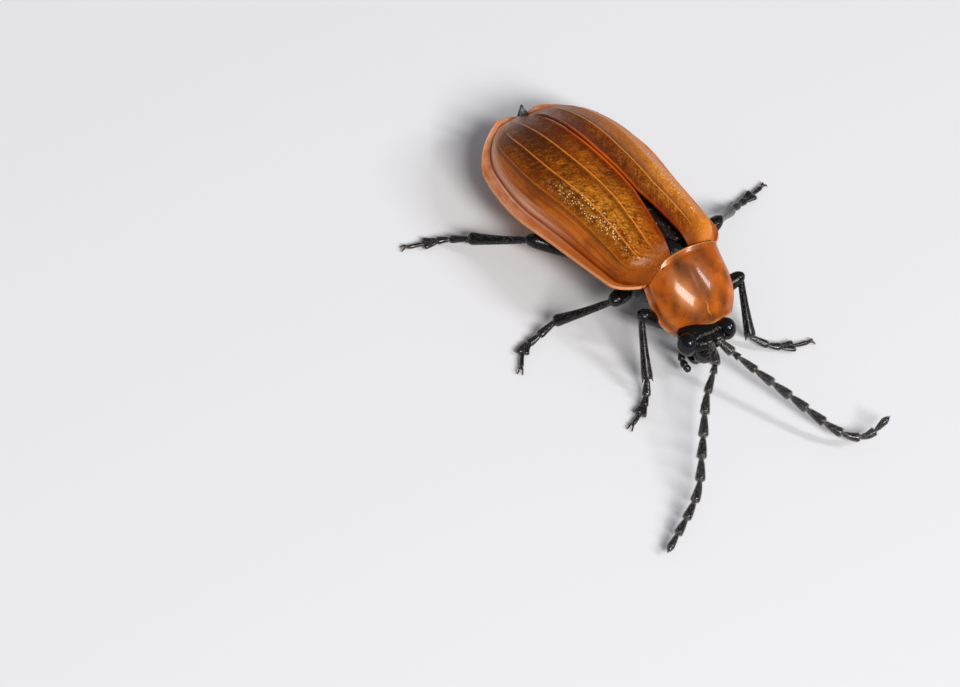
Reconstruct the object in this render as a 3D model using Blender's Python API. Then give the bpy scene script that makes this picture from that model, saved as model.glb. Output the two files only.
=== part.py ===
"""Daffodil leaf beetle, a still, life-size model that stands on a floor at z = 0.

Sizes are real ones, in millimetres. The beetle is worked at a unit to the millimetre, where the cuts between
its pieces stay exact, and the last step shrinks it to metres. The trunk has +X to the beetle's right, +Y
towards its head and +Z up, with its origin between the bases of the wing cases on the plane of their rims. It
is tilted nose up on the legs. The prothorax and the head hang from the trunk.
"""

import math

import bmesh
import bpy
import numpy as np
from mathutils import Matrix, Vector

MM = 0.001
GAP = 0.06  # the cut between two pieces that meet
WELD = 1e-5  # points nearer than this are one

# Stance: the trunk above the floor, and the tilts of its three parts, in degrees
TRUNK_HEIGHT = 2.3
TRUNK_NOSE_UP = 10.0
SHIELD_HINGE = (-0.10, 0.0, 0.71)
SHIELD_NOSE_DOWN = 43.4
SHIELD_YAW = 0.4
SHIELD_ROLL = 7.1
EYE_LINE = (0.20, 1.62, -0.94)  # the point between the eyes
HEAD_NOSE_DOWN = 8.0
HEAD_YAW = 3.3
HEAD_ROLL = -5.0

# Wing cases
CASE_LENGTH = 7.0
CASE_BASE_WIDTH = 1.77  # from the seam to the rim, behind the shoulder
CASE_WIDTH = 2.22
CASE_WIDEST_AT = 0.69  # of the length
CASE_BASE_HEIGHT = 0.83
CASE_HEIGHT = 1.56
CASE_HIGHEST_AT = 0.43
CASE_TIP_WIDTH_POWER = 2.83
CASE_TIP_HEIGHT_POWER = 2.58
CASE_TIP_BLUNTNESS = 0.75
CASE_STOP = 0.985  # of the length, where the rounded tip ends
CASE_SHOULDER = 0.09  # of the length, rounded in plan
CASE_WALL = 0.45
DOME_POWER = 0.85  # below 1 the dome is fuller than an ellipse
RIM_WIDTH = 0.315
RIM_THICKNESS = 0.16
SEAM_BASE_OPEN = 0.27  # half the gap between the cases beside the scutellum
SEAM_OPEN_TO = 0.26  # of the length, where the gap closes
SEAM_HALF_GAP = 0.035
SEAM_PART_FROM = 0.5  # of the length, where the two cases begin to part again
SEAM_PARTING = 0.09
SEAM_ROUND_FROM = 0.84  # of the length, where the inner corner of the tip rounds off
SEAM_ROUNDING = 0.42
CASE_FRONT = 0.07  # of the length, over which the case climbs from the shield
CASE_LIFT = {"right": 0.16, "left": 0.08}  # at the tip
RIB_ANGLES = (0.35, 0.69, 1.03)  # lengthwise ribs, radians from the seam
RIB_HEIGHT = 0.045
CASE_STATIONS = 28

# Scutellum: distance behind the base, half width and height above the rim plane
SCUTELLUM_RINGS = ((0.03, 0.22, 0.70), (0.15, 0.215, 0.78), (0.32, 0.16, 0.82), (0.46, 0.09, 0.82))
SCUTELLUM_FOOT = 0.42

# Folded hind wings under the cases
WING_WALL = 0.42
WING_VEINS = (-0.55, -0.25, 0.25, 0.55)  # radians from the middle
VEIN_HEIGHT = 0.04
WING_TAIL = (
    # share of the case length, half width, middle and top of the tongue that shows between the case tips
    (0.86, 0.42, 0.00, 0.44),
    (0.91, 0.20, -0.01, 0.50),
    (0.935, 0.16, -0.04, 0.62),
    (0.955, 0.14, -0.09, 0.71),
    (0.975, 0.07, -0.14, 0.76),
)
TAIL_WALL = 0.16

# Pterothorax and abdomen, as half widths and depths
THORAX_LENGTH = 2.72
THORAX_DEPTH = 1.16
ABDOMEN_END = 6.55
ABDOMEN_DEPTH = 0.98
VENTRITES = 5
VENTRITE_STEP = 0.05
VENTRITE_PROFILE = ((0.0, 0.0), (0.5, 0.5), (0.93, 1.0))  # share of a plate's length, share of the step

# Pronotum, the neck shield: half widths and drops of its side edge at equal steps from the rear to the front
SHIELD_LENGTH = 2.09
SHIELD_HALVES = (1.185, 1.19, 1.174, 0.868)
SHIELD_DROPS = (0.517, 0.755, 0.604)
SHIELD_ARCH = 0.12
SHIELD_FRONT_DIP = 0.10
SHIELD_REAR_BOW = 0.33  # how far the rear corners lie ahead of the middle
SHIELD_BEAD = 0.045  # the raised line along the side edges
SHIELD_WALL = 0.40
SHIELD_EDGE_WALL = 0.14
PROSTERNUM_DEPTH = 1.40

# Head, with X to its right, Y out of the face and Z up through the crown
HEAD_RINGS = (
    # height, half width, front and back, from the crown down to the mouth
    (0.11, 0.34, 0.14, -0.34),
    (0.06, 0.52, 0.28, -0.52),
    (-0.05, 0.64, 0.37, -0.66),
    (-0.19, 0.68, 0.38, -0.70),
    (-0.37, 0.62, 0.27, -0.68),
    (-0.57, 0.52, 0.15, -0.62),
    (-0.76, 0.44, 0.07, -0.54),
    (-0.885, 0.37, 0.02, -0.44),
)
EYE_SIZES = (0.24, 0.25, 0.30)
EYE_OFFSET = (0.63, 0.06, -0.02)
SOCKET_OFFSET = (0.17, 0.42, -0.09)
LABRUM_RINGS = (
    (-0.44, 0.18, 0.22, -0.04),
    (-0.58, 0.27, 0.27, -0.06),
    (-0.76, 0.28, 0.23, -0.06),
    (-0.92, 0.19, 0.15, -0.04),
)
MANDIBLE_RINGS = (
    (-0.79, 0.27, -0.12, -0.40),
    (-0.97, 0.28, -0.12, -0.38),
    (-1.02, 0.29, 0.08, -0.34),
    (-1.12, 0.24, 0.10, -0.24),
    (-1.22, 0.10, 0.07, -0.08),
)
PALP_POINTS = (  # of the right one, from its root to its tip
    (0.40, -0.34, -0.70),
    (0.50, -0.22, -0.84),
    (0.52, -0.04, -0.97),
    (0.47, 0.11, -1.07),
    (0.40, 0.20, -1.14),
)
PALP_RADII = (0.11, 0.13, 0.14, 0.13, 0.06)

# Legs: the joints of each in the stance frame, before the part is centred
HIPS = {"fore": (0.55, 0.38, -1.42), "mid": (0.72, -0.95, -1.10), "hind": (0.72, -2.35, -1.04)}
LEG_POINTS = {  # knee, ankle, two points along the foot, and its end
    ("fore", "right"): (
        (1.43, 0.41, 1.75), (1.83, 1.54, 0.50),
        (2.10, 1.89, 0.25), (2.46, 2.15, 0.17), (2.86, 2.33, 0.12),
    ),
    ("mid", "right"): (
        (1.76, -0.35, 1.75), (2.78, -1.27, 0.50),
        (3.38, -1.23, 0.25), (3.88, -1.14, 0.17), (4.31, -0.70, 0.12),
    ),
    ("hind", "right"): (
        (2.20, -3.31, 1.38), (3.06, -4.66, 0.50),
        (3.51, -5.12, 0.25), (3.96, -5.32, 0.17), (4.48, -5.51, 0.12),
    ),
    ("fore", "left"): (
        (-1.72, 0.77, 1.76), (-1.49, 1.86, 0.50),
        (-1.93, 2.25, 0.25), (-2.44, 2.52, 0.17), (-3.01, 2.66, 0.12),
    ),
    ("mid", "left"): (
        (-2.42, -1.05, 1.70), (-3.70, -1.76, 0.50),
        (-4.25, -1.93, 0.25), (-4.76, -2.04, 0.17), (-5.25, -2.15, 0.12),
    ),
    ("hind", "left"): (
        (-2.05, -3.45, 1.34), (-2.55, -4.90, 0.50),
        (-2.62, -5.45, 0.25), (-2.70, -5.90, 0.17), (-2.82, -6.40, 0.12),
    ),
}
LEG_SCALE = {"fore": 0.95, "mid": 1.0, "hind": 1.05}
# Each profile lists shares of the length with the radius there
COXA_PROFILE = ((0.0, 0.30), (0.4, 0.33), (0.8, 0.32), (1.0, 0.27), (1.12, 0.15))
FEMUR_PROFILE = (
    (0.0, 0.20), (0.1, 0.22), (0.3, 0.25), (0.55, 0.265),
    (0.8, 0.255), (0.95, 0.245), (1.04, 0.19), (1.1, 0.08),
)
TIBIA_PROFILE = ((0.0, 0.20), (0.2, 0.205), (0.5, 0.215), (0.8, 0.24), (0.95, 0.26), (1.0, 0.22))
TARSUS_PROFILE = (
    (0.0, 0.17), (0.10, 0.20), (0.30, 0.25), (0.34, 0.18), (0.50, 0.24), (0.54, 0.19), (0.64, 0.26),
    (0.72, 0.25), (0.745, 0.15), (0.86, 0.14), (0.93, 0.15), (1.0, 0.10),
)
FOOT_HALF_HEIGHT = 0.17
CLAW_LENGTH = 0.26
CLAW_SPREAD = 28.0
LEG_SIDES = 10

# Feelers: points that each passes after its socket, in the stance frame
FEELER_PATHS = {
    "right": ((0.56, 2.46, 1.40), (1.33, 3.25, 1.20), (2.25, 4.32, 0.86), (3.16, 5.29, 0.55), (4.74, 6.15, 0.24)),
    "left": (
        (-0.24, 2.76, 1.36), (-0.84, 4.23, 1.00),
        (-1.48, 5.62, 0.60), (-2.10, 6.09, 0.50), (-2.82, 6.09, 0.85),
    ),
}
FEELER_SEGMENTS = (0.55, 0.22, 0.56, 0.55, 0.58, 0.55, 0.58, 0.55, 0.50, 0.46, 0.52)
FEELER_SPLITS = (3, 7)
FEELER_NECK = 0.15
FEELER_RADIUS = 0.22
FEELER_SIDES = 8

SIDES = {"right": 1.0, "left": -1.0}


def clear_scene():
    for obj in list(bpy.data.objects):
        bpy.data.objects.remove(obj, do_unlink=True)


def finish(name, colour, roughness):
    """A Principled material: the colour is linear RGB, and nothing on the beetle is metal."""
    material = bpy.data.materials.new(name)
    material.use_nodes = True
    shader = material.node_tree.nodes["Principled BSDF"]
    shader.inputs["Base Color"].default_value = (*colour, 1.0)
    shader.inputs["Roughness"].default_value = roughness
    shader.inputs["Metallic"].default_value = 0.0
    return material


def frame_empty(name, parent, place=(0, 0, 0), turn=None):
    """An empty that carries pieces, at a place in its parent and with a rotation matrix."""
    empty = bpy.data.objects.new(name, None)
    empty.parent = parent
    matrix = turn.to_4x4() if turn else Matrix.Identity(4)
    matrix.translation = Vector(place)
    empty.matrix_local = matrix
    collection.objects.link(empty)
    bpy.context.view_layer.update()
    return empty


def tilt(nose_up=0.0, yaw_right=0.0, roll_right=0.0):
    """Rotation for a part of the body: yaw about Z, then pitch about X, then roll about Y, in degrees."""
    yaw = Matrix.Rotation(math.radians(-yaw_right), 3, "Z")
    pitch = Matrix.Rotation(math.radians(nose_up), 3, "X")
    roll = Matrix.Rotation(math.radians(roll_right), 3, "Y")
    return yaw @ pitch @ roll


def mesh_object(name, points, faces, parent, material=None, where=None):
    """A smooth mesh object from points and faces, with its faces turned outwards."""
    mesh = bpy.data.meshes.new(name)
    mesh.from_pydata(np.asarray(points, float).tolist(), [], faces)
    scratch = bmesh.new()
    scratch.from_mesh(mesh)
    bmesh.ops.recalc_face_normals(scratch, faces=scratch.faces)
    scratch.to_mesh(mesh)
    scratch.free()
    mesh.shade_smooth()
    mesh.set_sharp_from_angle(angle=math.radians(50))
    obj = bpy.data.objects.new(name, mesh)
    obj.parent = parent
    if material:
        mesh.materials.append(material)
    (where or collection).objects.link(obj)
    return obj


def loft(name, rings, parent, material=None, where=None):
    """A skin over rings of equal length, with a flat cap at each end."""
    rings = np.asarray(rings, float)
    count, around = rings.shape[:2]
    faces = []
    for i in range(count - 1):
        a, b = i * around, (i + 1) * around
        faces += [(a + j, a + (j + 1) % around, b + (j + 1) % around, b + j) for j in range(around)]
    faces += [tuple(range(around)), tuple(range((count - 1) * around, count * around))]
    return mesh_object(name, rings.reshape(-1, 3), faces, parent, material, where)


def thick_patch(name, outer, inner, parent, material=None, where=None):
    """A closed plate between two grids of points that have the same layout."""
    outer, inner = np.asarray(outer, float), np.asarray(inner, float)
    rows, columns = outer.shape[:2]
    shift = rows * columns
    at = np.arange(shift).reshape(rows, columns)
    faces = []
    for i in range(rows - 1):
        for j in range(columns - 1):
            a, b, c, d = (int(k) for k in (at[i, j], at[i, j + 1], at[i + 1, j + 1], at[i + 1, j]))
            for triangle in ((a, b, c), (a, c, d)):
                faces.append(triangle)
                faces.append(tuple(k + shift for k in reversed(triangle)))
    border = [*at[0, :], *at[1:, -1], *at[-1, -2::-1], *at[-2:0:-1, 0]]
    for a, b in zip(border, border[1:] + border[:1]):
        faces.append((int(b), int(a), int(a) + shift, int(b) + shift))
    points = np.concatenate([outer.reshape(-1, 3), inner.reshape(-1, 3)])
    return mesh_object(name, points, faces, parent, material, where)


def tube_rings(path, widths, heights, up, sides, grow=0.0):
    """Elliptical rings along a path: half widths run across it, half heights towards up."""
    path = np.asarray(path, float)
    widths, heights = np.asarray(widths, float) + grow, np.asarray(heights, float) + grow
    along = np.gradient(path, axis=0)
    along /= np.linalg.norm(along, axis=1)[:, None]
    path[0] -= along[0] * grow
    path[-1] += along[-1] * grow
    across = np.cross(along, up)
    across /= np.linalg.norm(across, axis=1)[:, None]
    rise = np.cross(across, along)
    angle = np.arange(sides) * 2 * np.pi / sides
    return (
        path[:, None]
        + across[:, None] * (widths[:, None] * np.cos(angle))[..., None]
        + rise[:, None] * (heights[:, None] * np.sin(angle))[..., None]
    )


def ellipsoid(name, centre, sizes, parent, material=None, where=None, grow=0.0, segments=16, rings=10):
    """A ball scaled to three half sizes."""
    scratch = bmesh.new()
    bmesh.ops.create_uvsphere(scratch, u_segments=segments, v_segments=rings, radius=1.0)
    points = np.array([v.co for v in scratch.verts]) * (np.array(sizes) + grow) + np.array(centre)
    faces = [tuple(v.index for v in face.verts) for face in scratch.faces]
    scratch.free()
    return mesh_object(name, points, faces, parent, material, where)


def keep_largest(mesh):
    """Removes every loose scrap but the closed surface with the most volume."""
    scratch = bmesh.new()
    scratch.from_mesh(mesh)
    bmesh.ops.remove_doubles(scratch, verts=scratch.verts, dist=WELD)
    left = set(scratch.verts)
    islands = []
    while left:
        island, front = set(), [left.pop()]
        while front:
            vert = front.pop()
            island.add(vert)
            for edge in vert.link_edges:
                other = edge.other_vert(vert)
                if other in left:
                    left.discard(other)
                    front.append(other)
        islands.append(island)
    sizes = [max(v.co[k] for v in i) - min(v.co[k] for v in i) for i in islands for k in range(3)]
    spans = [sizes[n * 3] + sizes[n * 3 + 1] + sizes[n * 3 + 2] for n in range(len(islands))]
    keep = islands[spans.index(max(spans))]
    bmesh.ops.delete(scratch, geom=[v for v in scratch.verts if v not in keep], context="VERTS")
    scratch.to_mesh(mesh)
    scratch.free()


def carve(obj, cutters, joined=()):
    """Joins the objects in joined to obj, cuts the cutters from it, and bakes the result into its mesh."""
    for operation, tools in (("UNION", joined), ("DIFFERENCE", cutters)):
        for tool in tools:
            modifier = obj.modifiers.new(operation.title(), "BOOLEAN")
            modifier.operation = operation
            modifier.object = tool
            modifier.solver = "MANIFOLD"
    bpy.context.view_layer.update()
    graph = bpy.context.evaluated_depsgraph_get()
    shaped = bpy.data.meshes.new_from_object(obj.evaluated_get(graph))
    obj.modifiers.clear()
    keep_largest(shaped)
    shaped.shade_smooth()
    shaped.set_sharp_from_angle(angle=math.radians(50))
    material = obj.data.materials[0] if obj.data.materials else None
    shaped.materials.clear()
    if material:
        shaped.materials.append(material)
    obj.data = shaped
    for tool in (*joined, *cutters):
        bpy.data.objects.remove(tool, do_unlink=True)


def cutter(builder, name, *args, **kwargs):
    """A helper solid that only cuts: grown by the gap, never rendered."""
    obj = builder("cut_" + name, *args, where=cutters_collection, **kwargs)
    obj.hide_render = True
    obj.display_type = "WIRE"
    return obj


# Wing cases

def case_outline(u):
    """Half width, height above the rim and rim width of a wing case at the share u of its length."""
    u = np.asarray(u, float)
    widening = np.sin(np.pi / 2 * np.clip(u / CASE_WIDEST_AT, 0, 1))
    width = CASE_BASE_WIDTH + (CASE_WIDTH - CASE_BASE_WIDTH) * widening
    tip_from = CASE_WIDEST_AT - 0.1
    tip = np.clip((u - tip_from) / (1 - tip_from), 0, 1) ** CASE_TIP_WIDTH_POWER
    shoulder = 1 - 0.32 * np.clip(1 - u / CASE_SHOULDER, 0, 1) ** 2.2
    width = width * np.sqrt(np.clip(1 - tip, 0, 1)) * shoulder
    rising = np.sin(np.pi / 2 * np.clip(u / CASE_HIGHEST_AT, 0, 1))
    height = CASE_BASE_HEIGHT + (CASE_HEIGHT - CASE_BASE_HEIGHT) * rising
    fall = np.clip((u - CASE_HIGHEST_AT) / (1 - CASE_HIGHEST_AT), 0, 1) ** CASE_TIP_HEIGHT_POWER
    height = height * np.clip(1 - fall, 0, 1) ** CASE_TIP_BLUNTNESS
    climb = np.clip(1 - u / CASE_FRONT, 0, 1)
    height = np.maximum(height, 0.16) * (0.6 + 0.4 * np.sqrt(1 - climb**2))
    width = np.maximum(width, seam_edge(u) + 0.2)
    rim = np.minimum(RIM_WIDTH * (0.5 + 0.9 * u), 0.5 * (width - seam_edge(u)))
    return width, height, rim


def seam_edge(u):
    """Half the gap between the cases: a wedge behind the scutellum, a hairline, then the rounded tips."""
    wedge = SEAM_BASE_OPEN * np.clip(1 - (u / SEAM_OPEN_TO) ** 1.4, 0, 1)
    parting = SEAM_PARTING * np.clip((u - SEAM_PART_FROM) / (1 - SEAM_PART_FROM), 0, 1)
    rounding = SEAM_ROUNDING * np.clip((u - SEAM_ROUND_FROM) / (1 - SEAM_ROUND_FROM), 0, 1) ** 2
    return SEAM_HALF_GAP + wedge + parting + rounding


def case_stations():
    """Shares of the length, closer together at both ends."""
    t = np.linspace(0, 1, CASE_STATIONS)
    wave = np.sin(2 * np.pi * t)
    return CASE_STOP * (t - np.where(t > 0.5, 0.11, 0.05) * wave)


def wing_case(name, side, material):
    """A domed plate from the seam down to a flat rim, with lengthwise ribs raised on it."""
    sign = SIDES[side]
    u = case_stations()
    width, height, rim = case_outline(u)
    seam = seam_edge(u)
    ribs = np.array(RIB_ANGLES)
    angle = np.concatenate([np.linspace(0, np.pi / 2, 11), ribs - 0.05, ribs, ribs + 0.05])
    angle = np.unique(np.round(angle, 4))
    wall = np.minimum(CASE_WALL, 0.42 * height)
    dome = width - rim - seam
    rise = np.clip(np.cos(angle), 0, 1) ** DOME_POWER
    raised = RIB_HEIGHT * np.isin(np.round(angle, 4), np.round(ribs, 4))
    fade = np.clip((u - 0.02) / 0.06, 0, 1) * np.clip((0.93 - u) / 0.1, 0, 1)
    lift = raised[None] * fade[:, None]
    outer_x = seam[:, None] + dome[:, None] * np.sin(angle) + lift * np.sin(angle)
    outer_z = 0.05 + height[:, None] * rise + lift * np.cos(angle)
    inner_x = seam[:, None] + (dome - 0.6 * wall)[:, None] * np.sin(angle)
    inner_z = -0.11 + (height - wall + 0.16)[:, None] * rise
    outer_x = np.concatenate([outer_x, width[:, None]], 1)
    outer_z = np.concatenate([outer_z, np.full_like(width, 0.10)[:, None]], 1)
    inner_x = np.concatenate([inner_x, (width - 0.02)[:, None]], 1)
    inner_z = np.concatenate([inner_z, np.full_like(width, 0.10 - RIM_THICKNESS)[:, None]], 1)
    y = np.repeat(-(CASE_LENGTH * u + 0.01)[:, None], outer_x.shape[1], 1)
    raise_by = CASE_LIFT[side] * (-y) / CASE_LENGTH
    outer = np.stack([sign * outer_x, y, outer_z + raise_by], -1)
    inner = np.stack([sign * inner_x, y, inner_z + raise_by], -1)
    return thick_patch(name, outer, inner, trunk, material)


def ceiling(u, below):
    """Half width and height of the room under the cases, less a depth below their inner face."""
    width, height, rim = case_outline(u)
    wall = np.minimum(CASE_WALL, 0.42 * height)
    return width - rim - 0.6 * wall - GAP, height - wall - below


def folded_wings(material):
    """The hind wings, folded flat with their veins raised; their tips show between the cases."""
    u = np.array([0.08, 0.15, 0.3, 0.45, 0.6, 0.72, 0.80])
    half, top = ceiling(u, GAP + 0.05)
    half = np.minimum(half * 0.68, 1.18)
    tail = np.array(WING_TAIL).T
    half = np.concatenate([half, tail[1]])
    middle = np.concatenate([0 * u, tail[2]])
    top = np.concatenate([top, tail[3]])
    u = np.concatenate([u, tail[0]])
    veins = np.array(WING_VEINS)
    angle = np.concatenate([np.linspace(-np.pi / 2, np.pi / 2, 9), veins - 0.06, veins, veins + 0.06])
    angle = np.sort(angle)
    raised = VEIN_HEIGHT * np.isin(angle, veins)[None] * (u < 0.85)[:, None]
    wall = np.interp(u, [0.8, 0.94], [WING_WALL, TAIL_WALL])[:, None]
    x = half[:, None] * np.sin(angle) + middle[:, None]
    z = top[:, None] * np.cos(angle * 0.5) ** DOME_POWER
    y = np.repeat(-(CASE_LENGTH * u)[:, None], len(angle), 1)
    outer = np.stack([x, y, z + raised - VEIN_HEIGHT], -1)
    inner = np.stack([x * 0.96, y, z - wall - VEIN_HEIGHT], -1)
    return thick_patch("folded_wings", outer, inner, trunk, material)


def trunk_ring(y, half, top, bottom, sides=28, belly_power=0.8):
    """A section of the trunk: a low dome above the rim plane and a full belly below it."""
    angle = np.arange(sides) * 2 * np.pi / sides
    up = np.sin(angle)
    x = half * np.cos(angle)
    z = np.where(up > 0, top * np.abs(up) ** 0.9, -bottom * np.abs(up) ** belly_power)
    return np.stack([x, np.full_like(x, y), z - 0.1], -1)


def pterothorax(material):
    """The black middle and hind thorax, which carries the cases and four of the legs."""
    y = np.array([0.0, 0.12, 0.35, 0.8, 1.4, 2.0, 2.45, THORAX_LENGTH])
    depth = THORAX_DEPTH * np.array([0.72, 0.88, 0.97, 1.0, 1.0, 0.96, 0.86, 0.74])
    half, top = ceiling(y / CASE_LENGTH, WING_WALL + VEIN_HEIGHT + 2 * GAP + 0.08)
    half = np.minimum(half - 0.04, 1.42) * np.array([0.86, 0.94, 0.98, 1.0, 1.0, 1.0, 0.98, 0.95])
    half[0] = min(half[0], 1.0)
    rings = [trunk_ring(-a, b, c, d) for a, b, c, d in zip(y, half, top, depth)]
    return loft("pterothorax", rings, trunk, material)


def abdomen(material):
    """The orange abdomen, whose five plates below each end in a small step."""
    start = THORAX_LENGTH + GAP
    length = ABDOMEN_END - start
    rings = []
    for n in range(VENTRITES):
        for share, step in VENTRITE_PROFILE:
            t = (n + share) / VENTRITES
            y = start + length * t
            half, top = ceiling(np.array([y / CASE_LENGTH]), WING_WALL + VEIN_HEIGHT + 2 * GAP + 0.18)
            taper = math.sqrt(max(1 - (t * 0.985) ** 3.2, 0.0))
            depth = ABDOMEN_DEPTH * (0.45 + 0.55 * taper) * (0.92 - 0.3 * t)
            half_width = min(float(half[0]), 1.72) * (0.30 + 0.70 * taper) - 0.03
            swell = VENTRITE_STEP * step
            roof = float(top[0]) * (0.25 + 0.75 * taper) - 0.12 * t
            rings.append(trunk_ring(-y, half_width + swell * 0.5, roof, depth + swell))
    end = rings[-1].copy()
    middle = end.mean(axis=0)
    end = middle + (end - middle) * 0.55
    end[:, 1] = -ABDOMEN_END
    rings.append(end)
    return loft("abdomen", rings, trunk, material)


def scutellum(material):
    """The small black triangle between the bases of the cases."""
    rings = []
    for y, half, top in SCUTELLUM_RINGS:
        edge = [(-half, -y, top - 0.06), (0.0, -y, top), (half, -y, top - 0.06)]
        foot = [(half * 0.8, -y, SCUTELLUM_FOOT), (-half * 0.8, -y, SCUTELLUM_FOOT)]
        rings.append(edge + foot)
    return loft("scutellum", rings, trunk, material)


# Prothorax

def shield_section(share):
    """Half width, drop of the side edge and height of the midline at a share of the shield's length."""
    half = np.polyval(np.polyfit(np.linspace(0, 1, 4), SHIELD_HALVES, 3), share)
    drop = np.polyval(np.polyfit(np.linspace(0, 1, 3), SHIELD_DROPS, 2), share)
    top = SHIELD_ARCH * np.sin(np.pi * share) - SHIELD_FRONT_DIP * share**3
    return half, drop, top


def shield_grid(under):
    """The shield's upper face, or its lower one, from the rear to the front and from edge to edge."""
    share = np.linspace(0, 1, 13)
    angle = np.concatenate([[-1.0], np.linspace(-0.94, 0.94, 17), [1.0]]) * np.pi / 2
    half, drop, top = shield_section(share)
    edge = np.abs(angle) > 1.5
    side = np.abs(np.sin(angle))
    arch = np.clip(np.cos(angle), 0, 1) ** 0.9
    x = half[:, None] * np.sin(angle) + SHIELD_BEAD * edge * np.sign(angle)
    rear = SHIELD_REAR_BOW * side**2
    y = rear[None] + share[:, None] * (SHIELD_LENGTH - rear)[None]
    z = top[:, None] - drop[:, None] * (1 - arch) + SHIELD_BEAD * edge
    if under:
        thin = np.clip((1 - share) / 0.35, 0, 1)[:, None]
        z = z - SHIELD_EDGE_WALL - (SHIELD_WALL - SHIELD_EDGE_WALL) * arch * thin
        x = x * 0.985
    return np.stack([x, y, z], -1)


def pronotum(material):
    """The shield over the prothorax, a domed plate with a raised line along its sides."""
    shield = thick_patch("pronotum", shield_grid(False), shield_grid(True), prothorax, material)
    tools = [rear_plane_cutter(), head_cutter()]
    tools += [femur_solid("fore", side, grow=GAP) for side in SIDES]
    carve(shield, tools)
    return shield


def prosternum(material):
    """The black underside of the prothorax, cut upright where the trunk begins."""
    angle = np.arange(24) * 2 * np.pi / 24
    up = np.sin(angle)
    rings = []
    for y in (-0.75, 0.0, 0.45, 0.9, 1.3, 1.70):
        share = np.clip(y / SHIELD_LENGTH, 0, 1)
        half, drop, top = shield_section(share)
        inside = half - 0.34
        edge = top - drop - SHIELD_EDGE_WALL
        wall = SHIELD_EDGE_WALL + (SHIELD_WALL - SHIELD_EDGE_WALL) * np.clip((1 - share) / 0.35, 0, 1)
        roof = top - wall - GAP - 0.06
        floor = -PROSTERNUM_DEPTH + 0.12 * abs(y - 0.9)
        z = np.where(up > 0, edge + (roof - edge) * np.abs(up), edge + (edge - floor) * -np.abs(up) ** 0.9)
        rings.append(np.stack([inside * np.cos(angle), np.full_like(angle, y), z], -1))
    block = loft("prosternum", rings, prothorax, material)
    tools = [rear_plane_cutter(), head_cutter()]
    tools += [solid("fore", side, grow=GAP) for solid in (coxa_solid, femur_solid) for side in SIDES]
    carve(block, tools)
    return block


def rear_plane_cutter():
    """A block behind the upright plane where the prothorax ends."""
    ring = np.array([(-4.0, 0, -4.0), (4.0, 0, -4.0), (4.0, 0, 4.0), (-4.0, 0, 4.0)])
    return cutter(loft, "rear", [ring + (0, GAP, 0), ring + (0, -5.0, 0)], trunk)


# Head

def head_rings(grow=0.0, sides=24):
    angle = np.arange(sides) * 2 * np.pi / sides
    rings = []
    for n, (z, half, front, back) in enumerate(HEAD_RINGS):
        middle, deep = (front + back) / 2, (front - back) / 2 + grow
        lift = grow if n == 0 else -grow if n == len(HEAD_RINGS) - 1 else 0.0
        x = (half + grow) * np.cos(angle)
        y = middle + deep * np.sign(np.sin(angle)) * np.abs(np.sin(angle)) ** 0.85
        rings.append(np.stack([x, y, np.full_like(x, z + lift)], -1))
    return rings


def head_cutter():
    return cutter(loft, "head", head_rings(GAP), head)


def eye_solid(side, material=None, grow=0.0):
    centre = np.array(EYE_OFFSET) * (SIDES[side], 1, 1)
    if grow:
        return cutter(ellipsoid, "eye", centre, EYE_SIZES, head, grow=grow)
    return ellipsoid("eye_" + side, centre, EYE_SIZES, head, material)


def mouth_block(name, rings, material=None, grow=0.0):
    """A rounded block below the face: rings of (height, half width, front, back)."""
    angle = np.arange(14) * 2 * np.pi / 14
    made = []
    for n, (z, half, front, back) in enumerate(rings):
        lift = grow if n == 0 else -grow if n == len(rings) - 1 else 0.0
        y = (front + back) / 2 + ((front - back) / 2 + grow) * np.sin(angle)
        made.append(np.stack([(half + grow) * np.cos(angle), y, np.full_like(y, z + lift)], -1))
    if grow:
        return cutter(loft, name, made, head)
    return loft(name, made, head, material)


def palp(side, material=None, grow=0.0):
    """A short jointed feeler beside the mouth."""
    sign = SIDES[side]
    path = np.array(PALP_POINTS) * (sign, 1, 1)
    rings = tube_rings(path, PALP_RADII, PALP_RADII, (sign, 0, 0.01), 10, grow)
    if grow:
        return cutter(loft, "palp", rings, head)
    return loft("palp_" + side, rings, head, material)


def head_capsule(material):
    capsule = loft("head_capsule", head_rings(), head, material)
    tools = [eye_solid(side, grow=GAP) for side in SIDES]
    tools += [mouth_block("labrum", LABRUM_RINGS, grow=GAP), mouth_block("mandibles", MANDIBLE_RINGS, grow=GAP)]
    tools += [palp(side, grow=GAP) for side in SIDES]
    tools += [feeler_solid(side, 0, grow=GAP) for side in SIDES]
    carve(capsule, tools)
    return capsule


# Feelers

def in_stance(frame, point):
    """A point of a body part's frame, seen from the stance frame."""
    return np.array(stance.matrix_world.inverted() @ frame.matrix_world @ Vector(point))


def smooth_path(points, count=200):
    """A smooth line through a few points, even in arc length (Catmull-Rom)."""
    points = np.asarray(points, float)
    padded = np.concatenate([[2 * points[0] - points[1]], points, [2 * points[-1] - points[-2]]])
    t = np.linspace(0, len(points) - 1 - 1e-9, count)
    i = t.astype(int)
    f = (t - i)[:, None]
    a, b, c, d = (padded[i + k] for k in range(4))
    square, cube = 2 * a - 5 * b + 4 * c - d, 3 * b - a - 3 * c + d
    line = 0.5 * (2 * b + (c - a) * f + square * f**2 + cube * f**3)
    run = np.concatenate([[0], np.cumsum(np.linalg.norm(np.diff(line, axis=0), axis=1))])
    even = np.linspace(0, run[-1], count)
    return np.stack([np.interp(even, run, line[:, k]) for k in range(3)], -1), run[-1]


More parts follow.
